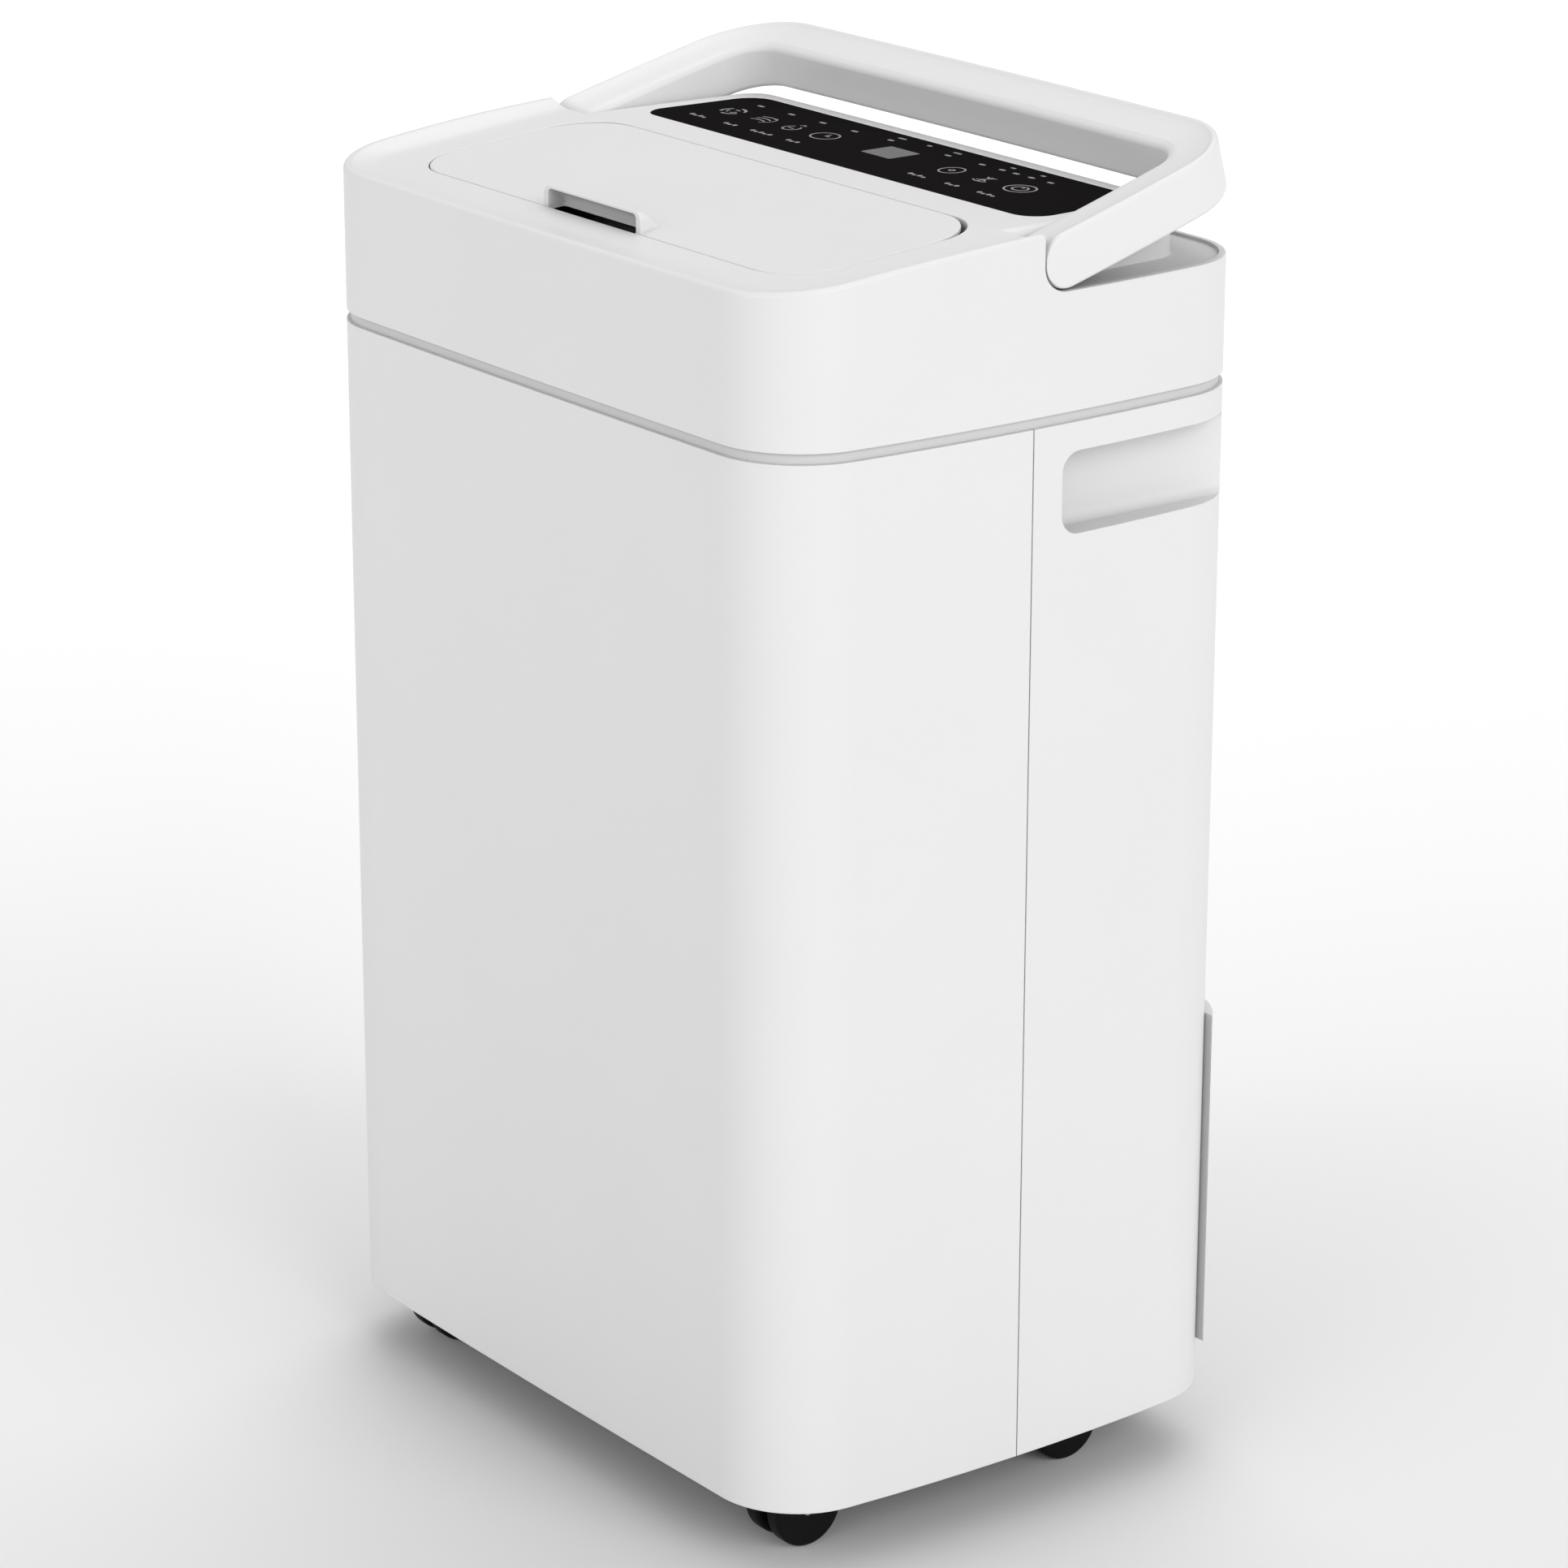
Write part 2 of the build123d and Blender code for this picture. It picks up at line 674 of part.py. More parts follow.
with BuildPart() as tank_bucket:
    with BuildSketch(Plane.XY.offset(bucket_z)):
        with Locations((0, bucket_y)):
            RectangleRounded(2 * bucket_half_width, bucket_depth, 12)
    extrude(amount=bucket_height)
    with BuildSketch(Plane.XY.offset(bucket_z + bucket_wall)):
        with Locations((0, bucket_y)):
            RectangleRounded(2 * (bucket_half_width - bucket_wall), bucket_depth - 2 * bucket_wall, 10)
    extrude(amount=bucket_height, mode=Mode.SUBTRACT)
tank_bucket.part.label = "tank_bucket"
export_step(tank_bucket.part, "parts/tank_bucket.step")

tray_outlet_y = 78.0
float_x = 70.0
float_pivot_y = 45.0
float_pivot_z = 190.0
float_lug_gap = 17.0
lid_thickness = 2.5

with BuildPart() as tank_lid:
    with BuildSketch(Plane.XY.offset(bucket_top)):
        with Locations((0, bucket_y)):
            RectangleRounded(2 * bucket_half_width, bucket_depth, 12)
        with Locations((0, tray_outlet_y)):
            Circle(12, mode=Mode.SUBTRACT)
    extrude(amount=lid_thickness)
    for side in (-1, 1):
        x = float_x + side * (float_lug_gap + 2)
        add(block(x - 1.5, x + 1.5, float_pivot_y - 5, float_pivot_y + 5, float_pivot_z - 5, bucket_top))
    add(x_rod(2 + running_gap, float_x - 30, float_x + 30, float_pivot_y, float_pivot_z), mode=Mode.SUBTRACT)
tank_lid.part.label = "tank_lid"
export_step(tank_lid.part, "parts/tank_lid.step")

float_low_z = 148.0
with BuildPart() as tank_float:
    add(block(float_x - 15, float_x + 15, 58, 96, float_low_z, float_low_z + 14))
    with BuildSketch(Plane.YZ.offset(float_x - 4)):
        with BuildLine():
            Polyline(
                (float_pivot_y - 4, float_pivot_z + 3),
                (float_pivot_y + 4, float_pivot_z + 3),
                (72, float_low_z + 14),
                (60, float_low_z + 10),
                close=True,
            )
        make_face()
    extrude(amount=8)
    half = float_lug_gap + 3.5
    add(x_rod(2.0, float_x - half, float_x + half, float_pivot_y, float_pivot_z))
tank_float.part.label = "tank_float"
export_step(tank_float.part, "parts/tank_float.step")

grab_half = 45.0
grab_z = 178.0
grab_depth = 9.0
tank_skin = 3.0
with BuildPart() as tank_front:
    with BuildSketch(Plane.XY.offset(tank_z)):
        add(cabinet_plan(-tank_stand_out))
    extrude(amount=tank_top_z - tank_z)
    add(block(-far, far, -far, tank_face_y, 0, 300), mode=Mode.SUBTRACT)
    # hollow behind the skin, left solid round the finger grab
    with BuildSketch(Plane.XY.offset(tank_z + 7)):
        add(cabinet_plan(tank_skin - tank_stand_out))
        Rectangle(270, far, mode=Mode.INTERSECT)
    extrude(amount=tank_top_z - tank_z - 14, mode=Mode.SUBTRACT)
    add(block(-grab_half - 4, grab_half + 4, tank_face_y, tank_face_y + 12, grab_z - 4, tank_top_z - 5))
    with BuildSketch(Plane.XZ.offset(-far)):
        with Locations((0, (grab_z + tank_top_z) / 2 + 6)):
            RectangleRounded(2 * grab_half, tank_top_z - grab_z + 12, 10)
    extrude(amount=far - tank_face_y - 14.4 + grab_depth, mode=Mode.SUBTRACT)
tank_front.part.label = "tank_front"
export_step(tank_front.part, "parts/tank_front.step")

# ================================================================ chassis, tray and coils
with BuildPart() as chassis:
    with BuildSketch(Plane.XY.offset(chassis_z)):
        add(skin_inside)
        with Locations((0, tray_outlet_y)):
            Circle(8, mode=Mode.SUBTRACT)
        with Locations((-120, -12)):
            Rectangle(36, 42, mode=Mode.SUBTRACT)
    extrude(amount=pan_thickness)
    add(block(-165, 165, 12, 15, pan_z + pan_thickness, chassis_z))
    add(block(-far, far, 118, far, chassis_z - 1, chassis_z + 10), mode=Mode.SUBTRACT)
chassis.part.label = "chassis"
export_step(chassis.part, "parts/chassis.step")

with BuildPart() as drip_tray:
    add(block(-122, 122, 44, 110, chassis_z + pan_thickness, chassis_z + 17))
    add(block(-120, 120, 46, 108, tray_floor, chassis_z + 30), mode=Mode.SUBTRACT)
    add(z_rod(6.5, 0, tray_outlet_y, chassis_z - 5, chassis_z + 4))
    add(z_rod(4.5, 0, tray_outlet_y, chassis_z - 10, chassis_z + 10), mode=Mode.SUBTRACT)
drip_tray.part.label = "drip_tray"
export_step(drip_tray.part, "parts/drip_tray.step")

spigot_y1 = 131.5
with BuildPart() as drain_spigot:
    add(y_rod(7.2, spigot_x, 110, 112, spigot_z))
    add(y_rod(6.0, spigot_x, 110, spigot_y1, spigot_z))
    add(y_rod(4.0, spigot_x, 111, spigot_y1 + 1, spigot_z), mode=Mode.SUBTRACT)
drain_spigot.part.label = "drain_spigot"
export_step(drain_spigot.part, "parts/drain_spigot.step")

with BuildPart() as cord_inlet:
    add(y_rod(10.0, cord_x, 120.0, 126.4, cord_z))
    add(y_rod(6.95, cord_x, 120.0, 129.3, cord_z))
    add(y_rod(10.0, cord_x, 129.25, 131.5, cord_z))
    add(y_rod(3.5, cord_x, 119.0, 132.0, cord_z), mode=Mode.SUBTRACT)
cord_inlet.part.label = "cord_inlet"
export_step(cord_inlet.part, "parts/cord_inlet.step")

fin_pitch = 5.0
fin_thickness = 1.0
fin_depth = 13.0
spine_depth = 9.0
tube_radius = 3.5
tube_rows = 8
tube_pitch = 26.0
first_tube_z = tray_floor + 20
fin_count = int(2 * coil_half_width / fin_pitch)


def coil_fins(front_y, fins_in_front):
    """Finned block of one heat exchanger, with its tube holes along X."""
    spine_y0 = front_y + (fin_depth if fins_in_front else 0)
    fins_y0 = front_y + (0 if fins_in_front else spine_depth)
    with BuildPart(mode=Mode.PRIVATE) as fins:
        with BuildSketch(Plane.XY.offset(tray_floor)):
            with Locations((0, spine_y0 + spine_depth / 2)):
                Rectangle(2 * coil_half_width, spine_depth)
            with Locations((0, fins_y0 + fin_depth / 2)):
                with GridLocations(fin_pitch, 0, fin_count, 1):
                    Rectangle(fin_thickness, fin_depth)
        extrude(amount=coil_top - tray_floor)
        with BuildSketch(Plane.YZ.offset(-coil_half_width)):
            with Locations((spine_y0 + spine_depth / 2, first_tube_z + (tube_rows - 1) * tube_pitch / 2)):
                with GridLocations(0, tube_pitch, 1, tube_rows):
                    Circle(tube_radius)
        extrude(amount=2 * coil_half_width, mode=Mode.SUBTRACT)
    return fins.part


def coil_tube(y):
    """Serpentine tube of one heat exchanger: straight runs joined by half turns."""
    reach = coil_half_width + 1.0
    with BuildPart(mode=Mode.PRIVATE) as tube:
        with BuildLine():
            for row in range(tube_rows):
                z = first_tube_z + row * tube_pitch
                side = 1 if row % 2 == 0 else -1
                Line((-side * reach, y, z), (side * reach, y, z))
                if row < tube_rows - 1:
                    top = z + tube_pitch
                    end = side * reach
                    bulge = side * (reach + tube_pitch / 2)
                    ThreePointArc((end, y, z), (bulge, y, z + tube_pitch / 2), (end, y, top))
        with BuildSketch(Plane(origin=(-reach, y, first_tube_z), z_dir=(1, 0, 0))):
            Circle(tube_radius)
        sweep()
    return tube.part


evaporator_y = 82.0
condenser_y = 50.0
with BuildPart() as evaporator_fins:
    add(coil_fins(evaporator_y, False))
evaporator_fins.part.label = "evaporator_fins"
export_step(evaporator_fins.part, "parts/evaporator_fins.step")

with BuildPart() as condenser_fins:
    add(coil_fins(condenser_y, True))
condenser_fins.part.label = "condenser_fins"
export_step(condenser_fins.part, "parts/condenser_fins.step")

evaporator_tube_y = evaporator_y + spine_depth / 2
condenser_tube_y = condenser_y + fin_depth + spine_depth / 2
with BuildPart() as evaporator_tubes:
    add(coil_tube(evaporator_tube_y))
evaporator_tubes.part.label = "evaporator_tubes"
export_step(evaporator_tubes.part, "parts/evaporator_tubes.step")

with BuildPart() as condenser_tubes:
    add(coil_tube(condenser_tube_y))
condenser_tubes.part.label = "condenser_tubes"
export_step(condenser_tubes.part, "parts/condenser_tubes.step")

# ================================================================ refrigeration works
compressor_x = -60.0
compressor_y = -55.0
compressor_radius = 52.0
compressor_z0 = 57.0
compressor_z1 = 198.0
foot_radius = 66.0
pan_top = pan_z + pan_thickness

with BuildPart() as compressor:
    with Locations((compressor_x, compressor_y, (compressor_z0 + compressor_z1) / 2)):
        Cylinder(compressor_radius, compressor_z1 - compressor_z0)
    fillet(compressor.edges().filter_by(GeomType.CIRCLE), 18)
    with BuildSketch(Plane.XY.offset(compressor_z0 + 4)):
        with Locations((compressor_x, compressor_y)):
            RegularPolygon(foot_radius + 10, 3)
    extrude(amount=3)
    with Locations((compressor_x, compressor_y, compressor_z0)):
        with PolarLocations(foot_radius - 4, 3):
            Cylinder(4.05, 40, mode=Mode.SUBTRACT)
compressor.part.label = "compressor"
export_step(compressor.part, "parts/compressor.step")

with BuildPart() as compressor_feet:
    with BuildSketch(Plane.XY.offset(pan_top)):
        with Locations((compressor_x, compressor_y)):
            with PolarLocations(foot_radius - 4, 3):
                Circle(7.5)
    extrude(amount=compressor_z0 + 4 - pan_top)
    with BuildSketch(Plane.XY.offset(pan_top)):
        with Locations((compressor_x, compressor_y)):
            with PolarLocations(foot_radius - 4, 3):
                Circle(4.0)
    extrude(amount=compressor_z0 + 10 - pan_top)
compressor_feet.part.label = "compressor_feet"
export_step(compressor_feet.part, "parts/compressor_feet.step")

accumulator_x = 14.0
accumulator_y = -18.0
with BuildPart() as accumulator:
    with Locations((accumulator_x, accumulator_y, 130)):
        Cylinder(16, 90)
    fillet(accumulator.edges().filter_by(GeomType.CIRCLE), 8)
accumulator.part.label = "accumulator"
export_step(accumulator.part, "parts/accumulator.step")

pipe_radius = 3.5


def pipe(points, bend, radius):
    """A pipe along straight runs joined by bends."""
    with BuildPart(mode=Mode.PRIVATE) as run:
        with BuildLine() as route:
            FilletPolyline(*points, radius=bend)
        with BuildSketch(Plane(origin=route.line @ 0, z_dir=route.line % 0)):
            Circle(radius)
        sweep()
    return run.part


with BuildPart() as suction_pipe:
    add(pipe([(accumulator_x, accumulator_y, 175), (accumulator_x, accumulator_y, 203.5),
              (-112, accumulator_y, 203.5), (-112, -10, 230), (-135, 30, 240),
              (-135, evaporator_tube_y, 225)], 6, pipe_radius))
suction_pipe.part.label = "suction_pipe"
export_step(suction_pipe.part, "parts/suction_pipe.step")

with BuildPart() as discharge_pipe:
    add(pipe([(-80, -35, compressor_z1), (-80, -35, 204), (-128, -32, 204), (-130, -16, 212),
              (-130, -14, 260), (-130, condenser_tube_y, 280), (-130, condenser_tube_y, 300)], 2.6, 2.4))
discharge_pipe.part.label = "discharge_pipe"
export_step(discharge_pipe.part, "parts/discharge_pipe.step")

capillary_radius = 1.4
with BuildPart() as capillary_tube:
    add(pipe([(126, condenser_tube_y, 250), (134, condenser_tube_y, 250), (134, condenser_tube_y, 330),
              (142, condenser_tube_y + 6, 330), (142, condenser_tube_y + 6, 250), (142, 78, 250),
              (142, 78, 330), (134, evaporator_tube_y, 350), (126, evaporator_tube_y, 350)],
             3.5, capillary_radius))
capillary_tube.part.label = "capillary_tube"
export_step(capillary_tube.part, "parts/capillary_tube.step")

# ================================================================ fan
scroll_radius = 92.0
scroll_y0 = -66.0
scroll_y1 = -6.0
scroll_wall = 3.0
shaft_radius = 4.0


def scroll_outline(inset):
    """Front view of the fan casing: a round chamber with its outlet going up on the right."""
    with BuildSketch(mode=Mode.PRIVATE) as outline:
        with Locations((0, fan_z)):
            Circle(scroll_radius - inset)
        x0 = duct_x0 + inset - scroll_wall
        x1 = duct_x1 - inset + scroll_wall - 3.0
        with Locations(((x0 + x1) / 2, (fan_z + body_top) / 2)):
            Rectangle(x1 - x0, body_top - fan_z)
    return outline.sketch


with BuildPart() as fan_scroll:
    with BuildSketch(Plane.XZ.offset(-scroll_y1)):
        add(scroll_outline(0))
    extrude(amount=scroll_y1 - scroll_y0)
    with BuildSketch(Plane.XZ.offset(-scroll_y1 + scroll_wall)):
        add(scroll_outline(scroll_wall))
    extrude(amount=scroll_y1 - scroll_y0 - 2 * scroll_wall, mode=Mode.SUBTRACT)
    add(y_rod(62, 0, scroll_y1 - 5, scroll_y1 + 5, fan_z), mode=Mode.SUBTRACT)
    add(y_rod(30, 0, scroll_y0 - 5, scroll_y0 + 5, fan_z), mode=Mode.SUBTRACT)
fan_scroll.part.label = "fan_scroll"
export_step(fan_scroll.part, "parts/fan_scroll.step")

motor_y0 = -112.0
with BuildPart() as fan_motor:
    add(y_rod(38, 0, motor_y0, scroll_y0 - 3, fan_z))
    add(y_rod(44, 0, scroll_y0 - 3, scroll_y0, fan_z))
    add(y_rod(shaft_radius + running_gap, 0, motor_y0 + 20, scroll_y0 + 5, fan_z), mode=Mode.SUBTRACT)
fan_motor.part.label = "fan_motor"
export_step(fan_motor.part, "parts/fan_motor.step")

with BuildPart() as fan_shaft:
    add(y_rod(shaft_radius, 0, motor_y0 + 20.5, -40, fan_z))
fan_shaft.part.label = "fan_shaft"
export_step(fan_shaft.part, "parts/fan_shaft.step")

blade_count = 36
blade_y0 = scroll_y0 + scroll_wall + 2
blade_y1 = scroll_y1 - scroll_wall - 2
with BuildPart() as fan_impeller:
    add(y_rod(fan_radius, 0, blade_y0, blade_y0 + 2.5, fan_z))
    add(y_rod(12, 0, blade_y0, -40, fan_z))
    add(y_rod(fan_radius, 0, blade_y1 - 2, blade_y1, fan_z))
    add(y_rod(fan_radius - 13, 0, blade_y1 - 5, blade_y1 + 5, fan_z), mode=Mode.SUBTRACT)
    with BuildSketch(Plane.XZ.offset(-blade_y1 + 1)):
        with Locations((0, fan_z)):
            with PolarLocations(fan_radius - 7, blade_count):
                with Locations(Rotation(0, 0, 28)):
                    Rectangle(11, 1.4)
    extrude(amount=blade_y1 - blade_y0 - 2)
    add(y_rod(shaft_radius, 0, -100, 0, fan_z), mode=Mode.SUBTRACT)
fan_impeller.part.label = "fan_impeller"
export_step(fan_impeller.part, "parts/fan_impeller.step")

# ================================================================ electrics
with BuildPart() as board_box:
    add(block(52, 122, -108, -36, pan_top, pan_top + 105))
    add(block(54, 120, -106, -38, pan_top + 2, pan_top + 110), mode=Mode.SUBTRACT)
board_box.part.label = "board_box"
export_step(board_box.part, "parts/board_box.step")

with BuildPart() as main_board:
    add(block(58, 59.6, -104, -40, pan_top + 2, pan_top + 100))
    with Locations((66, -85, pan_top + 30), (67, -60, pan_top + 70), (65, -90, pan_top + 75)):
        Box(14, 22, 20)
main_board.part.label = "main_board"
export_step(main_board.part, "parts/main_board.step")

with BuildPart() as run_capacitor:
    add(z_rod(16, 90, -12, pan_top, pan_top + 62))
    add(z_rod(5, 90, -12, pan_top + 62, pan_top + 68))
run_capacitor.part.label = "run_capacitor"
export_step(run_capacitor.part, "parts/run_capacitor.step")

with BuildPart() as level_switch:
    add(block(float_x - 14, float_x + 14, 15, 23, 140, 168))
level_switch.part.label = "level_switch"
export_step(level_switch.part, "parts/level_switch.step")

with BuildPart() as humidity_sensor:
    add(block(119, 131, 118, 125.9, 300, 320))
humidity_sensor.part.label = "humidity_sensor"
export_step(humidity_sensor.part, "parts/humidity_sensor.step")

# ================================================================ casters
yoke_half = 2.2
guard_radius = 20.4
guard_thickness = 1.8
guard_half = 12.0
wheel_edge = 2.2

with BuildPart() as wheel_form:
    with BuildSketch(Plane.XY):
        with Locations((0, (wheel_radius + axle_radius + running_gap) / 2)):
            Rectangle(wheel_width, wheel_radius - axle_radius - running_gap)
    revolve(axis=Axis.X)
    fillet(wheel_form.edges().filter_by(GeomType.CIRCLE).group_by(SortBy.RADIUS)[-1], wheel_edge)

with BuildPart() as yoke_form:
    # drawn at the origin with the swivel axis along Z and the floor at z = 0
    with BuildSketch(Plane.YZ):
        with Locations((-caster_trail, wheel_radius)):
            Circle(8.0)
        with BuildLine():
            Polyline(
                (-caster_trail - 7, wheel_radius + 3),
                (-caster_trail - 2, wheel_radius - 7),
                (7, 30),
                (7, 38.5),
                (-caster_trail - 6, 38.5 - 1.0),
                close=True,
            )
        make_face()
    extrude(amount=yoke_half, both=True)
    with BuildSketch(Plane.YZ):
        with Locations((-caster_trail, wheel_radius)):
            Circle(guard_radius)
            Circle(guard_radius - guard_thickness, mode=Mode.SUBTRACT)
            with Locations((-12, -20)):
                Rectangle(80, 48, mode=Mode.SUBTRACT)
    extrude(amount=guard_half, both=True)
    with Locations((0, 0, (30 + stem_top) / 2)):
        Cylinder(stem_radius, stem_top - 30)
    with Locations((0, 0, 35.5)):
        Cylinder(7.0, 6.0)
    add(x_rod(axle_radius, -20, 20, -caster_trail, wheel_radius), mode=Mode.SUBTRACT)

caster_names = ["front_left", "front_right", "rear_left", "rear_right"]
for name, (x, y) in zip(caster_names, caster_spots):
    with BuildPart() as caster_yoke:
        add(Pos(x, y, 0) * yoke_form.part)
    caster_yoke.part.label = f"{name}_caster_yoke"
    export_step(caster_yoke.part, f"parts/{name}_caster_yoke.step")

    with BuildPart() as caster_axle:
        add(x_rod(axle_radius, x - guard_half, x + guard_half, y - caster_trail, wheel_radius))
    caster_axle.part.label = f"{name}_caster_axle"
    export_step(caster_axle.part, f"parts/{name}_caster_axle.step")

    with BuildPart() as caster_wheels:
        for side in (-1, 1):
            add(Pos(x + side * wheel_spacing / 2, y - caster_trail, wheel_radius) * wheel_form.part)
    caster_wheels.part.label = f"{name}_caster_wheels"
    export_step(caster_wheels.part, f"parts/{name}_caster_wheels.step")
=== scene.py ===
"""Looks of the dehumidifier: shells with soft edges, handle, flap, glass panel, materials, light and camera.

Shapes are worked out in millimetres in the row frame and scaled to metres when a mesh is made.
"""
import json
import math

import bpy
import bmesh
from mathutils import Matrix, Vector
from mathutils.geometry import delaunay_2d_cdt


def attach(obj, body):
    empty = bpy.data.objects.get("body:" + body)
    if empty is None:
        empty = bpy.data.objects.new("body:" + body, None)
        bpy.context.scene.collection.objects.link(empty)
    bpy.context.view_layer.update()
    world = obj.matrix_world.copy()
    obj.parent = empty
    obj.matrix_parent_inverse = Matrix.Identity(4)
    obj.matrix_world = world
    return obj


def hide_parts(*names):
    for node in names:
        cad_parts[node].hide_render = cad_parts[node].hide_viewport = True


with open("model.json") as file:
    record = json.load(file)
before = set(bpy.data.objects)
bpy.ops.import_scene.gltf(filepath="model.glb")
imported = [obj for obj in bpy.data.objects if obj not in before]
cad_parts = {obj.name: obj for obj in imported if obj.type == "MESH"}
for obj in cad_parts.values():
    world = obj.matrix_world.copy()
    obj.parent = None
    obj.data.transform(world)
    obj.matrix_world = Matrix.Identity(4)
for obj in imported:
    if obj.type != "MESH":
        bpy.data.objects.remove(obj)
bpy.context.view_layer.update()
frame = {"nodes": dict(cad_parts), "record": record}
nodes = frame["nodes"]

# ---------------------------------------------------------------- cabinet plan
# The plan is four shallow arcs joined by corner arcs. All four quarters are alike.
HALF_WIDTH, SIDE_BOW = 172.5, 7.17
HALF_DEPTH, FRONT_BOW = 128.14, 1.36
CORNER = 41.0
SIDE_R = (HALF_DEPTH ** 2 + SIDE_BOW ** 2) / (2 * SIDE_BOW)
SIDE_X = HALF_WIDTH + SIDE_BOW - SIDE_R
FRONT_R = (HALF_WIDTH ** 2 + FRONT_BOW ** 2) / (2 * FRONT_BOW)
FRONT_Y = FRONT_R - HALF_DEPTH - FRONT_BOW

corner_x, corner_y = HALF_WIDTH - CORNER, CORNER - HALF_DEPTH
for _ in range(80):
    corner_x = SIDE_X + math.sqrt((SIDE_R - CORNER) ** 2 - corner_y ** 2)
    corner_y = FRONT_Y - math.sqrt((FRONT_R - CORNER) ** 2 - corner_x ** 2)
side_angle = math.atan2(corner_y, corner_x - SIDE_X)
front_angle = math.atan2(corner_y - FRONT_Y, corner_x)


def arc(cx, cy, radius, a0, a1, count):
    """Points of an arc with their outward normals: (x, y, nx, ny)."""
    angles = [a0 + (a1 - a0) * i / count for i in range(count + 1)]
    return [(cx + radius * math.cos(a), cy + radius * math.sin(a), math.cos(a), math.sin(a)) for a in angles]


QUARTER = (
    arc(0, FRONT_Y, FRONT_R, -math.pi / 2, front_angle, 10)
    + arc(corner_x, corner_y, CORNER, front_angle, side_angle, 24)[1:]
    + arc(SIDE_X, 0, SIDE_R, side_angle, 0, 14)[1:]
)


def mirror(points):
    """The same points on the left side."""
    return [(-x, y, -nx, ny) for x, y, nx, ny in points]


def flip(points):
    """The same points on the back."""
    return [(x, -y, nx, -ny) for x, y, nx, ny in points]


def on_side(y):
    """The plan's point on the right side at this y."""
    a = math.asin(y / SIDE_R)
    return (SIDE_X + SIDE_R * math.cos(a), y, math.cos(a), math.sin(a))


def inset(p, d):
    """The point d inside the plan's point p."""
    return p[0] - d * p[2], p[1] - d * p[3]


# ---------------------------------------------------------------- mesh helpers
class Shape:
    """Collects faces in millimetres and makes one smooth mesh object of them."""

    def __init__(self):
        self.points, self.faces = [], []

    def strip(self, rows, closed=False, around=False):
        """Faces between rows of equal length.

        closed joins the last row to the first, and around joins each row's ends.
        """
        base, n = len(self.points), len(rows[0])
        for row in rows:
            self.points += row
        for i in range(len(rows) if closed else len(rows) - 1):
            a, b = base + i * n, base + (i + 1) % len(rows) * n
            for j in range(n if around else n - 1):
                k = (j + 1) % n
                self.faces.append((a + j, a + k, b + k, b + j))

    def plate(self, outer, holes, height, lines=()):
        """A face inside a loop and outside the holes, in a height given by a function of x and y."""
        loops = [outer] + list(holes)
        coords, edges = [], []
        for loop in loops:
            base = len(coords)
            coords += [Vector((p[0], p[1])) for p in loop]
            edges += [(base + i, base + (i + 1) % len(loop)) for i in range(len(loop))]
        for a, b in lines:
            edges.append((len(coords), len(coords) + 1))
            coords += [Vector(a), Vector(b)]
        verts, _, faces, _, _, _ = delaunay_2d_cdt(coords, edges, [], 0, 1e-4)
        base = len(self.points)
        self.points += [(v.x, v.y, height(v.x, v.y)) for v in verts]
        for f in faces:
            cx = sum(verts[i].x for i in f) / len(f)
            cy = sum(verts[i].y for i in f) / len(f)
            if inside(cx, cy, outer) and not any(inside(cx, cy, h) for h in holes):
                self.faces.append(tuple(base + i for i in f))

    def make(self, name, material, body, replaced=(), sharp=38.0, weld=0.012):
        mesh = bpy.data.meshes.new(name)
        bm = bmesh.new()
        made = [bm.verts.new(Vector(p) * 0.001) for p in self.points]
        for f in self.faces:
            if len(set(f)) > 2:
                try:
                    bm.faces.new([made[i] for i in f])
                except ValueError:
                    pass
        bmesh.ops.remove_doubles(bm, verts=bm.verts, dist=weld * 0.001)
        bmesh.ops.dissolve_degenerate(bm, edges=bm.edges, dist=1e-6)
        bmesh.ops.recalc_face_normals(bm, faces=bm.faces)
        bm.to_mesh(mesh)
        bm.free()
        mesh.shade_smooth()
        mesh.set_sharp_from_angle(angle=math.radians(sharp))
        made_object = bpy.data.objects.new(name, mesh)
        bpy.context.scene.collection.objects.link(made_object)
        mesh.materials.append(material)
        weighted = made_object.modifiers.new("weighted", "WEIGHTED_NORMAL")
        weighted.keep_sharp = True
        weighted.weight = 60
        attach(made_object, body)
        if replaced:
            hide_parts(*replaced)
        return made_object


def inside(x, y, loop):
    """Whether a point lies inside a closed loop."""
    hit = False
    for i in range(len(loop)):
        x0, y0 = loop[i][0], loop[i][1]
        x1, y1 = loop[i - 1][0], loop[i - 1][1]
        if (y0 > y) != (y1 > y) and x < (x1 - x0) * (y - y0) / (y1 - y0) + x0:
            hit = not hit
    return hit


def rounded(hx, y0, y1, front_r, rear_r, grow=0.0, count=12):
    """A rounded rectangle's loop, counterclockwise from the front right corner."""
    hx, y0, y1 = hx + grow, y0 - grow, y1 + grow
    loop = []
    corners = ((1, y0, front_r, -90), (1, y1, rear_r, 0), (-1, y1, rear_r, 90), (-1, y0, front_r, 180))
    for sx, y, r, a0 in corners:
        r = max(r + grow, 0.05)
        cx, cy = sx * (hx - r), y + r if y == y0 else y - r
        for i in range(count + 1):
            a = math.radians(a0 + 90 * i / count)
            loop.append((cx + r * math.cos(a), cy + r * math.sin(a)))
    return loop


# ---------------------------------------------------------------- materials
def tree_of(name):
    material = bpy.data.materials.new(name)
    material.use_nodes = True
    tree = material.node_tree
    tree.nodes.clear()
    output = tree.nodes.new("ShaderNodeOutputMaterial")
    shader = tree.nodes.new("ShaderNodeBsdfPrincipled")
    tree.links.new(shader.outputs["BSDF"], output.inputs["Surface"])
    coords = tree.nodes.new("ShaderNodeTexCoord")
    return material, tree, shader, coords.outputs["Object"]


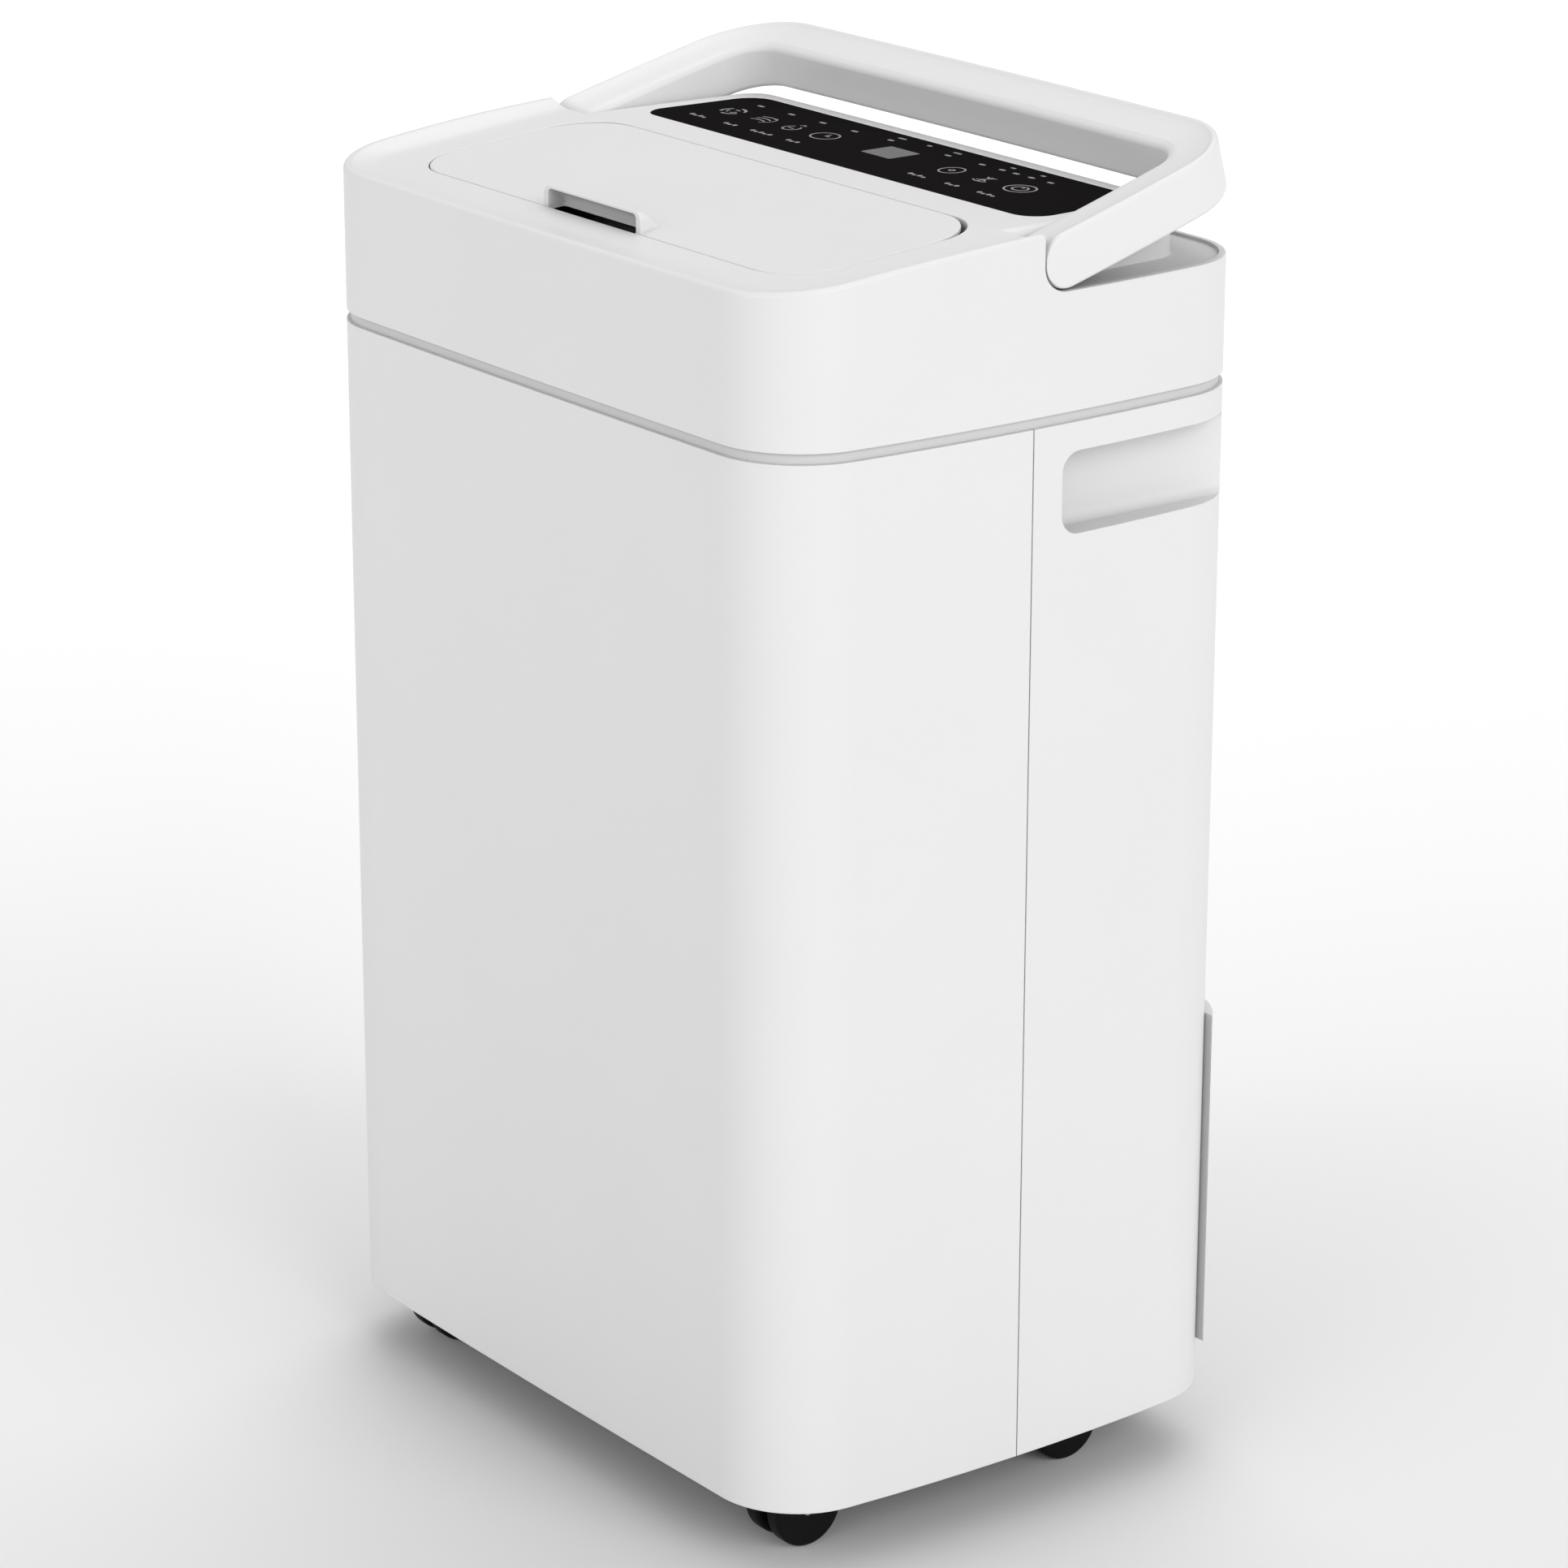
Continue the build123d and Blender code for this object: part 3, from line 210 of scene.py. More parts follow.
def noise(tree, where, scale, detail=3.0, stretch=None):
    if stretch:
        mapping = tree.nodes.new("ShaderNodeMapping")
        mapping.inputs["Scale"].default_value = stretch
        tree.links.new(where, mapping.inputs["Vector"])
        where = mapping.outputs["Vector"]
    node = tree.nodes.new("ShaderNodeTexNoise")
    node.inputs["Scale"].default_value = scale
    node.inputs["Detail"].default_value = detail
    tree.links.new(where, node.inputs["Vector"])
    return node.outputs["Fac"]


def between(tree, factor, low, high, from_low=0.3, from_high=0.7):
    node = tree.nodes.new("ShaderNodeMapRange")
    node.inputs["From Min"].default_value = from_low
    node.inputs["From Max"].default_value = from_high
    node.inputs["To Min"].default_value = low
    node.inputs["To Max"].default_value = high
    tree.links.new(factor, node.inputs["Value"])
    return node.outputs["Result"]


def colours(tree, factor, first, second):
    node = tree.nodes.new("ShaderNodeMix")
    node.data_type = "RGBA"
    node.inputs["A"].default_value = (*first, 1)
    node.inputs["B"].default_value = (*second, 1)
    tree.links.new(factor, node.inputs["Factor"])
    return node.outputs["Result"]


def bumped(tree, shader, height, strength, distance, edge=0.0):
    node = tree.nodes.new("ShaderNodeBump")
    node.inputs["Strength"].default_value = strength
    node.inputs["Distance"].default_value = distance
    tree.links.new(height, node.inputs["Height"])
    if edge:
        bevel = tree.nodes.new("ShaderNodeBevel")
        bevel.samples = 6
        bevel.inputs["Radius"].default_value = edge
        tree.links.new(bevel.outputs["Normal"], node.inputs["Normal"])
    tree.links.new(node.outputs["Normal"], shader.inputs["Normal"])


def finish_of(name, colour, rough, metallic=0.0, grain=900.0, grain_depth=0.00003, vary=0.02,
              edge=0.0, stretch=None, coat=0.0, specular=0.5):
    """Moulded, painted or rolled surface: fine grain, slight colour drift and uneven gloss."""
    material, tree, shader, where = tree_of(name)
    shade = between(tree, noise(tree, where, 14.0, 4.0), 0.0, 1.0)
    darker = tuple(c * (1 - vary) for c in colour)
    lighter = tuple(min(1.0, c * (1 + vary)) for c in colour)
    tree.links.new(colours(tree, shade, darker, lighter), shader.inputs["Base Color"])
    fine = noise(tree, where, grain, 2.0, stretch)
    tree.links.new(between(tree, fine, rough - 0.05, rough + 0.05), shader.inputs["Roughness"])
    shader.inputs["Metallic"].default_value = metallic
    shader.inputs["Specular IOR Level"].default_value = specular
    shader.inputs["Coat Weight"].default_value = coat
    bumped(tree, shader, fine, 0.35, grain_depth, edge)
    return material


SHELL_WHITE = (0.74, 0.74, 0.74)
white = finish_of("white_shell", SHELL_WHITE, 0.42, vary=0.006, specular=0.35)
white_cad = finish_of("white_shell_cad", SHELL_WHITE, 0.42, vary=0.006, specular=0.35, edge=0.0007)
white_handle = finish_of("white_handle", (0.75, 0.75, 0.75), 0.4, vary=0.006, specular=0.35)
# the shell's white painted darker: painted shade for the groove between the body and the top housing, worn
# by mid_deck
groove_painted_shade = finish_of("groove_painted_shade", (0.63, 0.63, 0.63), 0.5, vary=0.01, specular=0.2, edge=0.0004)
inner = finish_of("inner_plastic", (0.42, 0.42, 0.43), 0.5, vary=0.03, edge=0.0004)
grille_grey = finish_of("grille_plastic", (0.3, 0.3, 0.31), 0.5, vary=0.03, edge=0.0004)
black = finish_of("black_plastic", (0.009, 0.009, 0.009), 0.5, grain_depth=0.00005, vary=0.15, edge=0.0005,
                  specular=0.15)
tyre = finish_of("wheel_plastic", (0.0065, 0.0065, 0.0065), 0.45, grain=1400.0, vary=0.2, edge=0.0006,
                 specular=0.08)
rubber = finish_of("black_rubber", (0.02, 0.02, 0.02), 0.7, vary=0.2, edge=0.0004)
steel = finish_of("steel", (0.55, 0.55, 0.56), 0.28, metallic=1.0, vary=0.05, edge=0.0003,
                  stretch=(1.0, 12.0, 12.0))
galvanised = finish_of("galvanised", (0.6, 0.61, 0.62), 0.42, metallic=0.9, grain=260.0, vary=0.12,
                       edge=0.0004)
aluminium = finish_of("aluminium_fins", (0.78, 0.79, 0.8), 0.35, metallic=0.95, vary=0.05,
                      stretch=(1.0, 1.0, 0.1))
copper = finish_of("copper", (0.72, 0.38, 0.22), 0.3, metallic=1.0, grain=300.0, vary=0.12)
enamel = finish_of("black_enamel", (0.02, 0.02, 0.02), 0.3, grain=500.0, vary=0.2, coat=0.4)
board = finish_of("green_board", (0.03, 0.17, 0.07), 0.45, grain=400.0, vary=0.15, edge=0.0002)
float_white = finish_of("float_white", (0.8, 0.8, 0.77), 0.75, grain=420.0, grain_depth=0.00012, vary=0.04)
lens = finish_of("display_grey", (0.165, 0.165, 0.165), 0.4, vary=0.03, specular=0.03)
print_grey = finish_of("panel_print", (0.25, 0.25, 0.25), 0.5, vary=0.1)


def glass_material():
    """Smoked panel glass: near black and satin, with the faintest unevenness."""
    material, tree, shader, where = tree_of("black_glass")
    drift = between(tree, noise(tree, where, 6.0), 0.0, 1.0)
    shade = colours(tree, drift, (0.0095, 0.0085, 0.009), (0.012, 0.0105, 0.011))
    tree.links.new(shade, shader.inputs["Base Color"])
    fine = noise(tree, where, 60.0)
    tree.links.new(between(tree, fine, 0.40, 0.48), shader.inputs["Roughness"])
    shader.inputs["Specular IOR Level"].default_value = 0.0
    bumped(tree, shader, fine, 0.05, 0.00002)
    return material


def tank_material():
    """Translucent moulded tank: clear with a blue tint and a slightly rippled face."""
    material, tree, shader, where = tree_of("tank_clear")
    drift = between(tree, noise(tree, where, 9.0), 0.0, 1.0)
    tree.links.new(colours(tree, drift, (0.74, 0.82, 0.88), (0.82, 0.88, 0.92)), shader.inputs["Base Color"])
    ripple = noise(tree, where, 45.0, 2.0)
    tree.links.new(between(tree, ripple, 0.16, 0.3), shader.inputs["Roughness"])
    shader.inputs["Transmission Weight"].default_value = 0.8
    shader.inputs["IOR"].default_value = 1.45
    bumped(tree, shader, ripple, 0.2, 0.0004)
    return material


def net_material():
    """Filter net: dark threads crossing every 1.2 mm with open squares between them."""
    material, tree, shader, where = tree_of("filter_net")
    waves = []
    for axis in ("X", "Z"):
        wave = tree.nodes.new("ShaderNodeTexWave")
        wave.bands_direction = axis
        wave.inputs["Scale"].default_value = 262.0
        wave.inputs["Distortion"].default_value = 0.15
        tree.links.new(where, wave.inputs["Vector"])
        waves.append(wave.outputs["Fac"])
    thread = tree.nodes.new("ShaderNodeMath")
    thread.operation = "MAXIMUM"
    tree.links.new(waves[0], thread.inputs[0])
    tree.links.new(waves[1], thread.inputs[1])
    mask = between(tree, thread.outputs["Value"], 0.0, 1.0, 0.55, 0.75)
    shade = colours(tree, mask, (0.02, 0.02, 0.022), (0.075, 0.075, 0.08))
    tree.links.new(shade, shader.inputs["Base Color"])
    tree.links.new(between(tree, mask, 0.8, 0.5, 0.0, 1.0), shader.inputs["Roughness"])
    bumped(tree, shader, mask, 0.6, 0.0003)
    return material


glass = glass_material()
tank_clear = tank_material()
net = net_material()

BY_SLOT = {
    "white_shell": white_cad, "white_handle": white_handle, "black_glass": glass, "display_grey": lens,
    "inner_plastic": inner, "black_plastic": black, "black_rubber": rubber, "steel": steel,
    "galvanised": galvanised, "aluminium_fins": aluminium, "copper": copper, "black_enamel": enamel,
    "tank_clear": tank_clear, "filter_net": net, "green_board": board, "float_white": float_white,
}
slot_of = {row["node"]: row["material_slot"] for row in frame["record"]["subparts"]}
for name, node in nodes.items():
    finish = BY_SLOT[slot_of[name]]
    if name == "outlet_grille":
        finish = grille_grey
    # mid_deck shows in the groove, so it gets the white with the groove's painted shade
    elif name == "mid_deck":
        finish = groove_painted_shade
    elif name.endswith("_wheels"):
        finish = tyre
    if not node.material_slots:
        node.data.materials.append(finish)
    for material_slot in node.material_slots:
        material_slot.material = finish

# ---------------------------------------------------------------- top housing
HOUSING_Z = 501.5
WALL = 2.5
FOOT_CUT = 0.4
BREAK_Y = 3.9
SLOT_Y = 4.5
DECK_Z = 575.4
DECK_SLOPE = 0.0875
RIM_POINTS = ((-129.5, 566.0), (-60.0, 574.3), (4.5, 578.6))
DECK_INSET = 17.0
PIVOT_Y, PIVOT_Z = 17.0, 565.8
SLOT_R = 12.5
LEDGE_Z = 553.3
ISLAND_INSET = 24.0
ISLAND_FILLET = 6.5
RIM_ROUND = 1.8
LIP_INSET, LIP_DROP = 3.45, 0.3      # where the rim's lip ends and the dish to the deck begins
DISH_CURVE = 1.9
SLOT_WALL_FOOT, SLOT_WALL_TOP = 560.0, 576.8
WELL_FOOT = 549.2
GLASS_SEAT = 1.7


def circle_of(a, b, c):
    """Centre and radius of the circle through three points."""
    d = 2 * (a[0] * (b[1] - c[1]) + b[0] * (c[1] - a[1]) + c[0] * (a[1] - b[1]))
    sa, sb, sc = (p[0] ** 2 + p[1] ** 2 for p in (a, b, c))
    u = (sa * (b[1] - c[1]) + sb * (c[1] - a[1]) + sc * (a[1] - b[1])) / d
    v = (sa * (c[0] - b[0]) + sb * (a[0] - c[0]) + sc * (b[0] - a[0])) / d
    return u, v, math.hypot(a[0] - u, a[1] - v)


RIM_Y, RIM_Z, RIM_R = circle_of(*RIM_POINTS)


def rim(y):
    """Height of the housing's rim at y."""
    return RIM_Z + math.sqrt(RIM_R ** 2 - (y - RIM_Y) ** 2)


def deck(y):
    """Height of the deck at y: level at the back, falling to the front."""
    return DECK_Z + DECK_SLOPE * min(0.0, y - BREAK_Y)


def front_section(p):
    """The housing's section ahead of the handle slot, from the wall's foot over the rim to the deck."""
    row = []

    def add(d, z=None, drop=0.0):
        x, y = inset(p, d)
        row.append((x, y, rim(y) - drop if z is None else z))

    add(WALL, HOUSING_Z)
    add(FOOT_CUT, HOUSING_Z)
    add(0.0, HOUSING_Z + FOOT_CUT)
    for a in (0, 22.5, 45, 67.5, 90):
        s, c = math.sin(math.radians(a)), math.cos(math.radians(a))
        add(RIM_ROUND * (1 - c), drop=RIM_ROUND * (1 - s))
    add(2.9)
    add(3.15, drop=0.4)
    add(LIP_INSET, drop=LIP_DROP)
    for i in range(1, 13):
        t = i / 12
        d = LIP_INSET + (DECK_INSET - LIP_INSET) * t
        y = inset(p, d)[1]
        base = deck(y)
        add(d, z=base + (rim(y) - LIP_DROP - base) * (1 - t) ** DISH_CURVE)
    return row


def back_section(p):
    """The housing's section behind the slot wall: ledge under the handle and the island's side."""
    y = p[1]
    level = LEDGE_Z if y >= PIVOT_Y else PIVOT_Z - math.sqrt(max(0.0, SLOT_R ** 2 - (PIVOT_Y - y) ** 2))
    side = DECK_Z - ISLAND_FILLET
    pairs = [(WALL, HOUSING_Z), (FOOT_CUT, HOUSING_Z), (0.0, HOUSING_Z + FOOT_CUT), (0.0, level - 0.8),
             (0.25, level - 0.25), (0.8, level), (3.0, level), (3.25, level - 1.3), (3.7, level - 1.5),
             (22.6, level - 1.5), (ISLAND_INSET - 0.3, level - 1.1), (ISLAND_INSET, level - 0.2)]
    for i in range(9):
        a = math.radians(90 * i / 8)
        pairs.append((ISLAND_INSET + ISLAND_FILLET * (1 - math.cos(a)), side + ISLAND_FILLET * math.sin(a)))
    return [(*inset(p, d), z) for d, z in pairs]


side_front = [on_side(BREAK_Y)] + list(reversed(QUARTER))
front_path = side_front + mirror(QUARTER[1:]) + mirror([on_side(BREAK_Y)])
slot_steps = [on_side(PIVOT_Y - SLOT_R * math.cos(math.radians(7.5 * i))) for i in range(13)]
back_quarter = [p for p in flip(reversed(QUARTER)) if p[1] > PIVOT_Y + 0.6]
back_right = slot_steps + back_quarter
back_path = back_right + list(reversed(mirror(back_right[:-1])))

housing = Shape()
front_rows = [front_section(p) for p in front_path]
back_rows = [back_section(p) for p in back_path]
housing.strip(front_rows)
housing.strip(back_rows)

# slot wall with its soft top edge, right and left of the island
side_x = on_side(BREAK_Y)[0]
level_steps = [19.0, 21.5, 24.0, 26.5, 28.5, ISLAND_INSET + ISLAND_FILLET]
wall_top = front_rows[0][3:] + [(side_x - d, BREAK_Y, DECK_Z) for d in level_steps]
FADE_X = side_x - level_steps[-1]    # the soft edge fades out where the island's side begins
for sign in (1, -1):
    rows = []
    for y, drop in ((BREAK_Y, 0.0), (4.2, 0.08), (4.42, 0.28), (SLOT_Y, 0.6)):
        rows.append([(sign * x, y, z - drop * min(1.0, (abs(x) - FADE_X) / 3)) for x, _, z in wall_top])
    rows.append([(sign * x, SLOT_Y, SLOT_WALL_FOOT) for x, _, _ in wall_top])
    housing.strip(rows)
    housing.strip([[(sign * side_x, BREAK_Y, z), (sign * on_side(SLOT_Y)[0], SLOT_Y, z)]
                   for z in (HOUSING_Z, 540.0, SLOT_WALL_FOOT, SLOT_WALL_TOP)])

# deck with the flap's opening and the panel glass's seat
FLAP_X, FLAP_Y0, FLAP_Y1, FLAP_R = 144.0, -98.0, 6.0, 27.0
GLASS_Y0, GLASS_Y1, GLASS_R = 28.0, 92.6, 12.5


def glass_loop(grow):
    """The panel glass's outline, with ends that run along the cabinet's sides."""
    loop = rounded(140.0, GLASS_Y0, GLASS_Y1, GLASS_R, GLASS_R, grow)
    return [(x * (141.7 - y * y / 2300.0) / 140.0, y) for x, y in loop]


flap_hole = rounded(FLAP_X, FLAP_Y0, FLAP_Y1, FLAP_R, FLAP_R, 0.5)
glass_hole = glass_loop(0.5)
outer = [row[-1] for row in front_rows]
outer += [(-(side_x - d), BREAK_Y) for d in level_steps]
outer += [row[-1] for row in reversed(back_rows)]
outer += [(side_x - d, BREAK_Y) for d in reversed(level_steps)]
break_x = side_x - level_steps[-1]
fold = [((-break_x, BREAK_Y), (break_x, BREAK_Y))]
housing.plate(outer, [flap_hole, glass_hole], lambda x, y: deck(y), fold)
rows = []
for grow, drop in ((0.5, 0.0), (0.25, 0.07), (0.07, 0.25), (0.0, 0.5), (0.0, 2.6)):
    hole = rounded(FLAP_X, FLAP_Y0, FLAP_Y1, FLAP_R, FLAP_R, grow)
    rows.append([(x, y, deck(y) - drop) for x, y in hole])
rows.append([(x, y, WELL_FOOT) for x, y in rounded(FLAP_X, FLAP_Y0, FLAP_Y1, FLAP_R, FLAP_R)])
housing.strip(rows, around=True)
rows = [[(x, y, DECK_Z - drop) for x, y in glass_loop(grow)]
        for grow, drop in ((0.5, 0.0), (0.33, 0.04), (0.2, 0.2), (0.2, GLASS_SEAT), (-4.0, GLASS_SEAT))]
housing.strip(rows, around=True)
housing.make("housing_shell", white, "cabinet", ["top_housing"])

# ---------------------------------------------------------------- carrying handle
HANDLE_R = 11.75
REST_ANGLE = math.radians(15.0)
HANDLE_SECTION = [
    (2.2, -11.75), (0.7, -11.3), (0.0, -10.1), (0.0, 10.3), (0.3, 11.4), (1.0, 12.05),
    (2.0, 12.2), (2.9, 12.05), (3.3, 11.7), (5.0, 11.2), (8.0, 10.6), (12.0, 10.0),
    (16.0, 9.6), (18.9, 9.35), (19.15, 9.05), (19.4, 9.25), (20.6, 8.85), (21.6, 8.1),
    (22.25, 7.1), (22.5, 6.0), (22.5, -9.0), (22.05, -10.5), (21.0, -11.4), (19.5, -11.75),
]
turn = Matrix.Rotation(REST_ANGLE, 3, "X")
arm_steps = []
for i in range(15):
    a = math.radians(90 * i / 14)
    arm_steps.append((on_side(PIVOT_Y - HANDLE_R * math.cos(a)), math.sin(a)))
handle_right = arm_steps + [(p, 1.0) for p in back_quarter]
handle_path = handle_right + [(mirror([p])[0], k) for p, k in reversed(handle_right[:-1])]
handle = Shape()
rows = []
for p, k in handle_path:
    row = []
    for d, h in HANDLE_SECTION:
        x, y = inset(p, d)
        if k < 1.0:
            y = p[1]
        moved = turn @ Vector((0.0, y - PIVOT_Y, h * k))
        row.append((x, PIVOT_Y + moved.y, PIVOT_Z + moved.z))
    rows.append(row)
handle.strip(rows, around=True)
handle.make("handle_shell", white_handle, "handle", ["handle_lower", "handle_upper"],
            sharp=50.0)

# ---------------------------------------------------------------- outlet flap
PLATE_X, PLATE_Y0, PLATE_Y1 = 143.4, -97.4, 5.1
PLATE_FRONT_R, PLATE_REAR_R = 26.4, 31.0
PLATE_THICK = 1.8
HOOD_X, HOOD_HEIGHT, HOOD_LENGTH = 36.0, 8.7, 12.0
HOOD_FACE = 0.9                      # the hood's front face stands this far behind the plate's front
MOUTH_X, MOUTH_BACK = 32.5, 8.95
MOUTH_ROOF = ((HOOD_FACE, 7.6), (3.0, 7.1), (5.0, 6.1), (6.5, 5.0), (7.6, 4.0), (8.4, 2.9), (8.8, 1.6),
              (MOUTH_BACK, 0.05))
NOTCH_BACK = -88.5


def plate_loop(grow):
    """The flap's outline with the finger slot under the hood let into its front edge."""
    loop = rounded(PLATE_X, PLATE_Y0, PLATE_Y1, PLATE_FRONT_R, PLATE_REAR_R, grow)
    y0 = PLATE_Y0 - grow
    notch = [(-MOUTH_X, y0), (-MOUTH_X, NOTCH_BACK - 1.5), (-MOUTH_X + 0.4, NOTCH_BACK - 0.4),
             (-MOUTH_X + 1.5, NOTCH_BACK), (MOUTH_X - 1.5, NOTCH_BACK), (MOUTH_X - 0.4, NOTCH_BACK - 0.4),
             (MOUTH_X, NOTCH_BACK - 1.5), (MOUTH_X, y0)]
    return loop + notch


flap = Shape()
rows = []
for grow, drop in ((-0.5, 0.0), (-0.25, 0.07), (-0.07, 0.25), (0.0, 0.5), (0.0, PLATE_THICK)):
    rows.append([(x, y, deck(y) - drop) for x, y in plate_loop(grow)])
flap.strip(rows, around=True)
fold = [((-160, BREAK_Y), (160, BREAK_Y))]
flap.plate(plate_loop(-0.5), [], lambda x, y: deck(y), fold)
flap.plate(plate_loop(0.0), [], lambda x, y: deck(y) - PLATE_THICK, fold)


def arch(y, half, top, radius, foot):
    """A rounded arch standing on the flap at y."""
    radius = max(0.02, min(radius, top - 0.01))
    row = [(-half, foot), (-half, max(foot, top - radius))]
    for i in range(1, 7):
        a = math.radians(90 * i / 6)
        row.append((-half + radius * (1 - math.cos(a)), top - radius + radius * math.sin(a)))
    row = row + [(-x, z) for x, z in reversed(row)]
    return [(x, y, deck(y) + z) for x, z in row]


rows = []
for i in range(17):
    u = i / 16
    top = HOOD_HEIGHT * (1 - u ** 1.8)
    taper = HOOD_X - 2.5 * u
    back = HOOD_FACE + (HOOD_LENGTH - HOOD_FACE) * u
    rows.append(arch(PLATE_Y0 + back, taper, max(top, 0.03), 3.4, -0.2))
mouth = [arch(PLATE_Y0 + y, MOUTH_X, roof, 2.2, -0.1) for y, roof in MOUTH_ROOF]
lip = [[(x * 0.995, PLATE_Y0 + 0.35, z - 0.12) for x, _, z in rows[0]],
       [(x * 1.005, PLATE_Y0 + 0.35, z + 0.12) for x, _, z in mouth[0]]]
flap.strip(list(reversed(rows)) + lip + mouth)
flap.make("flap_shell", white, "flap", ["outlet_flap"])

# ---------------------------------------------------------------- panel glass and its marks
panel = Shape()
rows = [[(x, y, DECK_Z - drop) for x, y in glass_loop(grow)]
        for grow, drop in ((-0.35, 0.0), (-0.12, 0.08), (0.0, 0.32), (0.0, 1.6))]
panel.strip(rows, around=True)
panel.plate(glass_loop(-0.35), [], lambda x, y: DECK_Z)
panel.plate(glass_loop(0.0), [], lambda x, y: DECK_Z - 1.6)
panel.make("panel_glass", glass, "cabinet", ["control_glass"])

MARK_Z = DECK_Z + 0.02


def bar(shape, x, y, width, height):
    """A flat bar of print with cut corners."""
    c = 0.3 * min(width, height)
    w, h = width / 2, height / 2
    loop = [(w, -h + c), (w, h - c), (w - c, h), (c - w, h),
            (-w, h - c), (-w, c - h), (c - w, -h), (w - c, -h)]
    base = len(shape.points)
    shape.points += [(x + a, y + b, MARK_Z) for a, b in loop]
    shape.faces.append(tuple(range(base, base + len(loop))))


def ring(shape, x, y, rx, ry, line, a0=0.0, a1=360.0, count=40):
    """A line of print along an ellipse or a part of one."""
    rows = []
    for i in range(count + 1):
        a = math.radians(a0 + (a1 - a0) * i / count)
        c, s = math.cos(a), math.sin(a)
        rows.append([(x + (rx - e) * c, y + (ry - e) * s, MARK_Z) for e in (0.0, line)])
    shape.strip(rows)


marks = Shape()
KEY_Y = 62.0
LINE = 0.85
KEY_BLADES_X, KEY_WAVES_X, KEY_DROP_X = -115.5, -92.4, -69.2
# four keys on the left: curved blades, waves, a drop and a dial
for a0 in (20, 140, 260):
    ring(marks, KEY_BLADES_X, KEY_Y, 6.6, 6.6, 1.3, a0, a0 + 80)
    ring(marks, KEY_BLADES_X, KEY_Y, 3.4, 3.4, 1.0, a0 + 30, a0 + 100)
for k in (-1, 0, 1):
    ring(marks, KEY_WAVES_X, KEY_Y + 3.4 * k - 1.0, 6.0, 3.0, LINE, 25, 155)
ring(marks, KEY_WAVES_X, KEY_Y, 7.4, 6.6, 0.6, -60, 60)
ring(marks, KEY_DROP_X, KEY_Y - 1.2, 4.6, 4.8, LINE, 120, 420)
ring(marks, KEY_DROP_X, KEY_Y + 1.5, 2.4, 5.6, LINE, 40, 140)
bar(marks, KEY_DROP_X, KEY_Y - 1.5, 4.0, 0.9)
ring(marks, -45.8, KEY_Y, 7.6, 7.0, LINE)
bar(marks, -45.8, KEY_Y + 1.6, 1.0, 4.4)
bar(marks, -44.4, KEY_Y, 3.6, 1.0)
# three keys on the right: an oval, a sprig and a double ring
ring(marks, 45.4, KEY_Y, 6.0, 6.6, LINE)
ring(marks, 45.4, KEY_Y, 1.7, 1.7, LINE)
bar(marks, 68.8, KEY_Y, 1.0, 9.0)
ring(marks, 65.6, KEY_Y + 0.5, 3.2, 3.6, LINE, -90, 90)
ring(marks, 72.0, KEY_Y + 0.5, 3.2, 3.6, LINE, 90, 270)
ring(marks, 68.8, KEY_Y - 3.2, 4.6, 2.2, LINE, 180, 360)
ring(marks, 92.4, KEY_Y, 8.0, 7.4, 0.95)
ring(marks, 92.4, KEY_Y, 4.4, 3.9, 0.95)
bar(marks, 92.4, KEY_Y + 2.6, 1.0, 3.6)
for x in (-117.0, -93.5, -69.8, -46.2):
    bar(marks, x, 79.0, 4.6, 1.9)
for x in (-21.0, 20.0, 44.0, 58.0, 67.5, 78.0, 91.0):
    bar(marks, x, 80.0, 4.0, 1.9)
for x in (-20.5, -1.0, 19.0, 58.0, 78.5):
    bar(marks, x, 86.2, 5.6 if abs(x) < 25 and x != -1.0 else 3.2, 1.7)
# a short line of blocks stands for each key's caption
for x, blocks in ((-117.0, 4), (-92.4, 3), (-69.0, 5), (-45.4, 3), (44.6, 4), (68.6, 3), (92.2, 4)):
    for k in range(blocks):
        bar(marks, x + 3.2 * (k - (blocks - 1) / 2), 43.3 + 0.35 * (-1) ** k, 2.5, 2.7 - 0.9 * (k % 2))
marks.make("panel_marks", print_grey, "cabinet", weld=0.001)

window = Shape()
window.plate(rounded(10.4, 54.6, 72.2, 1.2, 1.2), [], lambda x, y: MARK_Z)
window.make("panel_window", lens, "cabinet", weld=0.001)

# ---------------------------------------------------------------- floor, light and camera
# The floor grows paler towards the back left and glows there, so that it ends in an even white: painted
# shade near the front right and painted light far off.
FLOOR_HALF = 30
PAINTED_LIGHT_TOWARDS = (-0.8, 0.6, 0.0)
floor_mesh = bpy.data.meshes.new("floor")
corners = [(sx * FLOOR_HALF, sy * FLOOR_HALF, 0) for sx, sy in ((-1, -1), (1, -1), (1, 1), (-1, 1))]
floor_mesh.from_pydata(corners, [], [(0, 1, 2, 3)])
floor = bpy.data.objects.new("floor", floor_mesh)
bpy.context.scene.collection.objects.link(floor)
floor_material, tree, shader, where = tree_of("pale_floor")
along = tree.nodes.new("ShaderNodeVectorMath")
along.operation = "DOT_PRODUCT"
along.inputs[1].default_value = PAINTED_LIGHT_TOWARDS
tree.links.new(where, along.inputs[0])
# painted shade and light: the floor's colour runs from darker at the front right to lighter at the back left
drift = between(tree, along.outputs["Value"], 0.0, 1.0, -0.3, 0.4)
tree.links.new(colours(tree, drift, (0.80, 0.80, 0.80), (0.93, 0.93, 0.93)), shader.inputs["Base Color"])
# painted light: the far floor glows though it is no lamp
painted_glow = between(tree, along.outputs["Value"], 0.0, 0.15, 0.2, 3.0)
tree.links.new(painted_glow, shader.inputs["Emission Strength"])
shader.inputs["Emission Color"].default_value = (1, 1, 1, 1)
fine = noise(tree, where, 300.0)
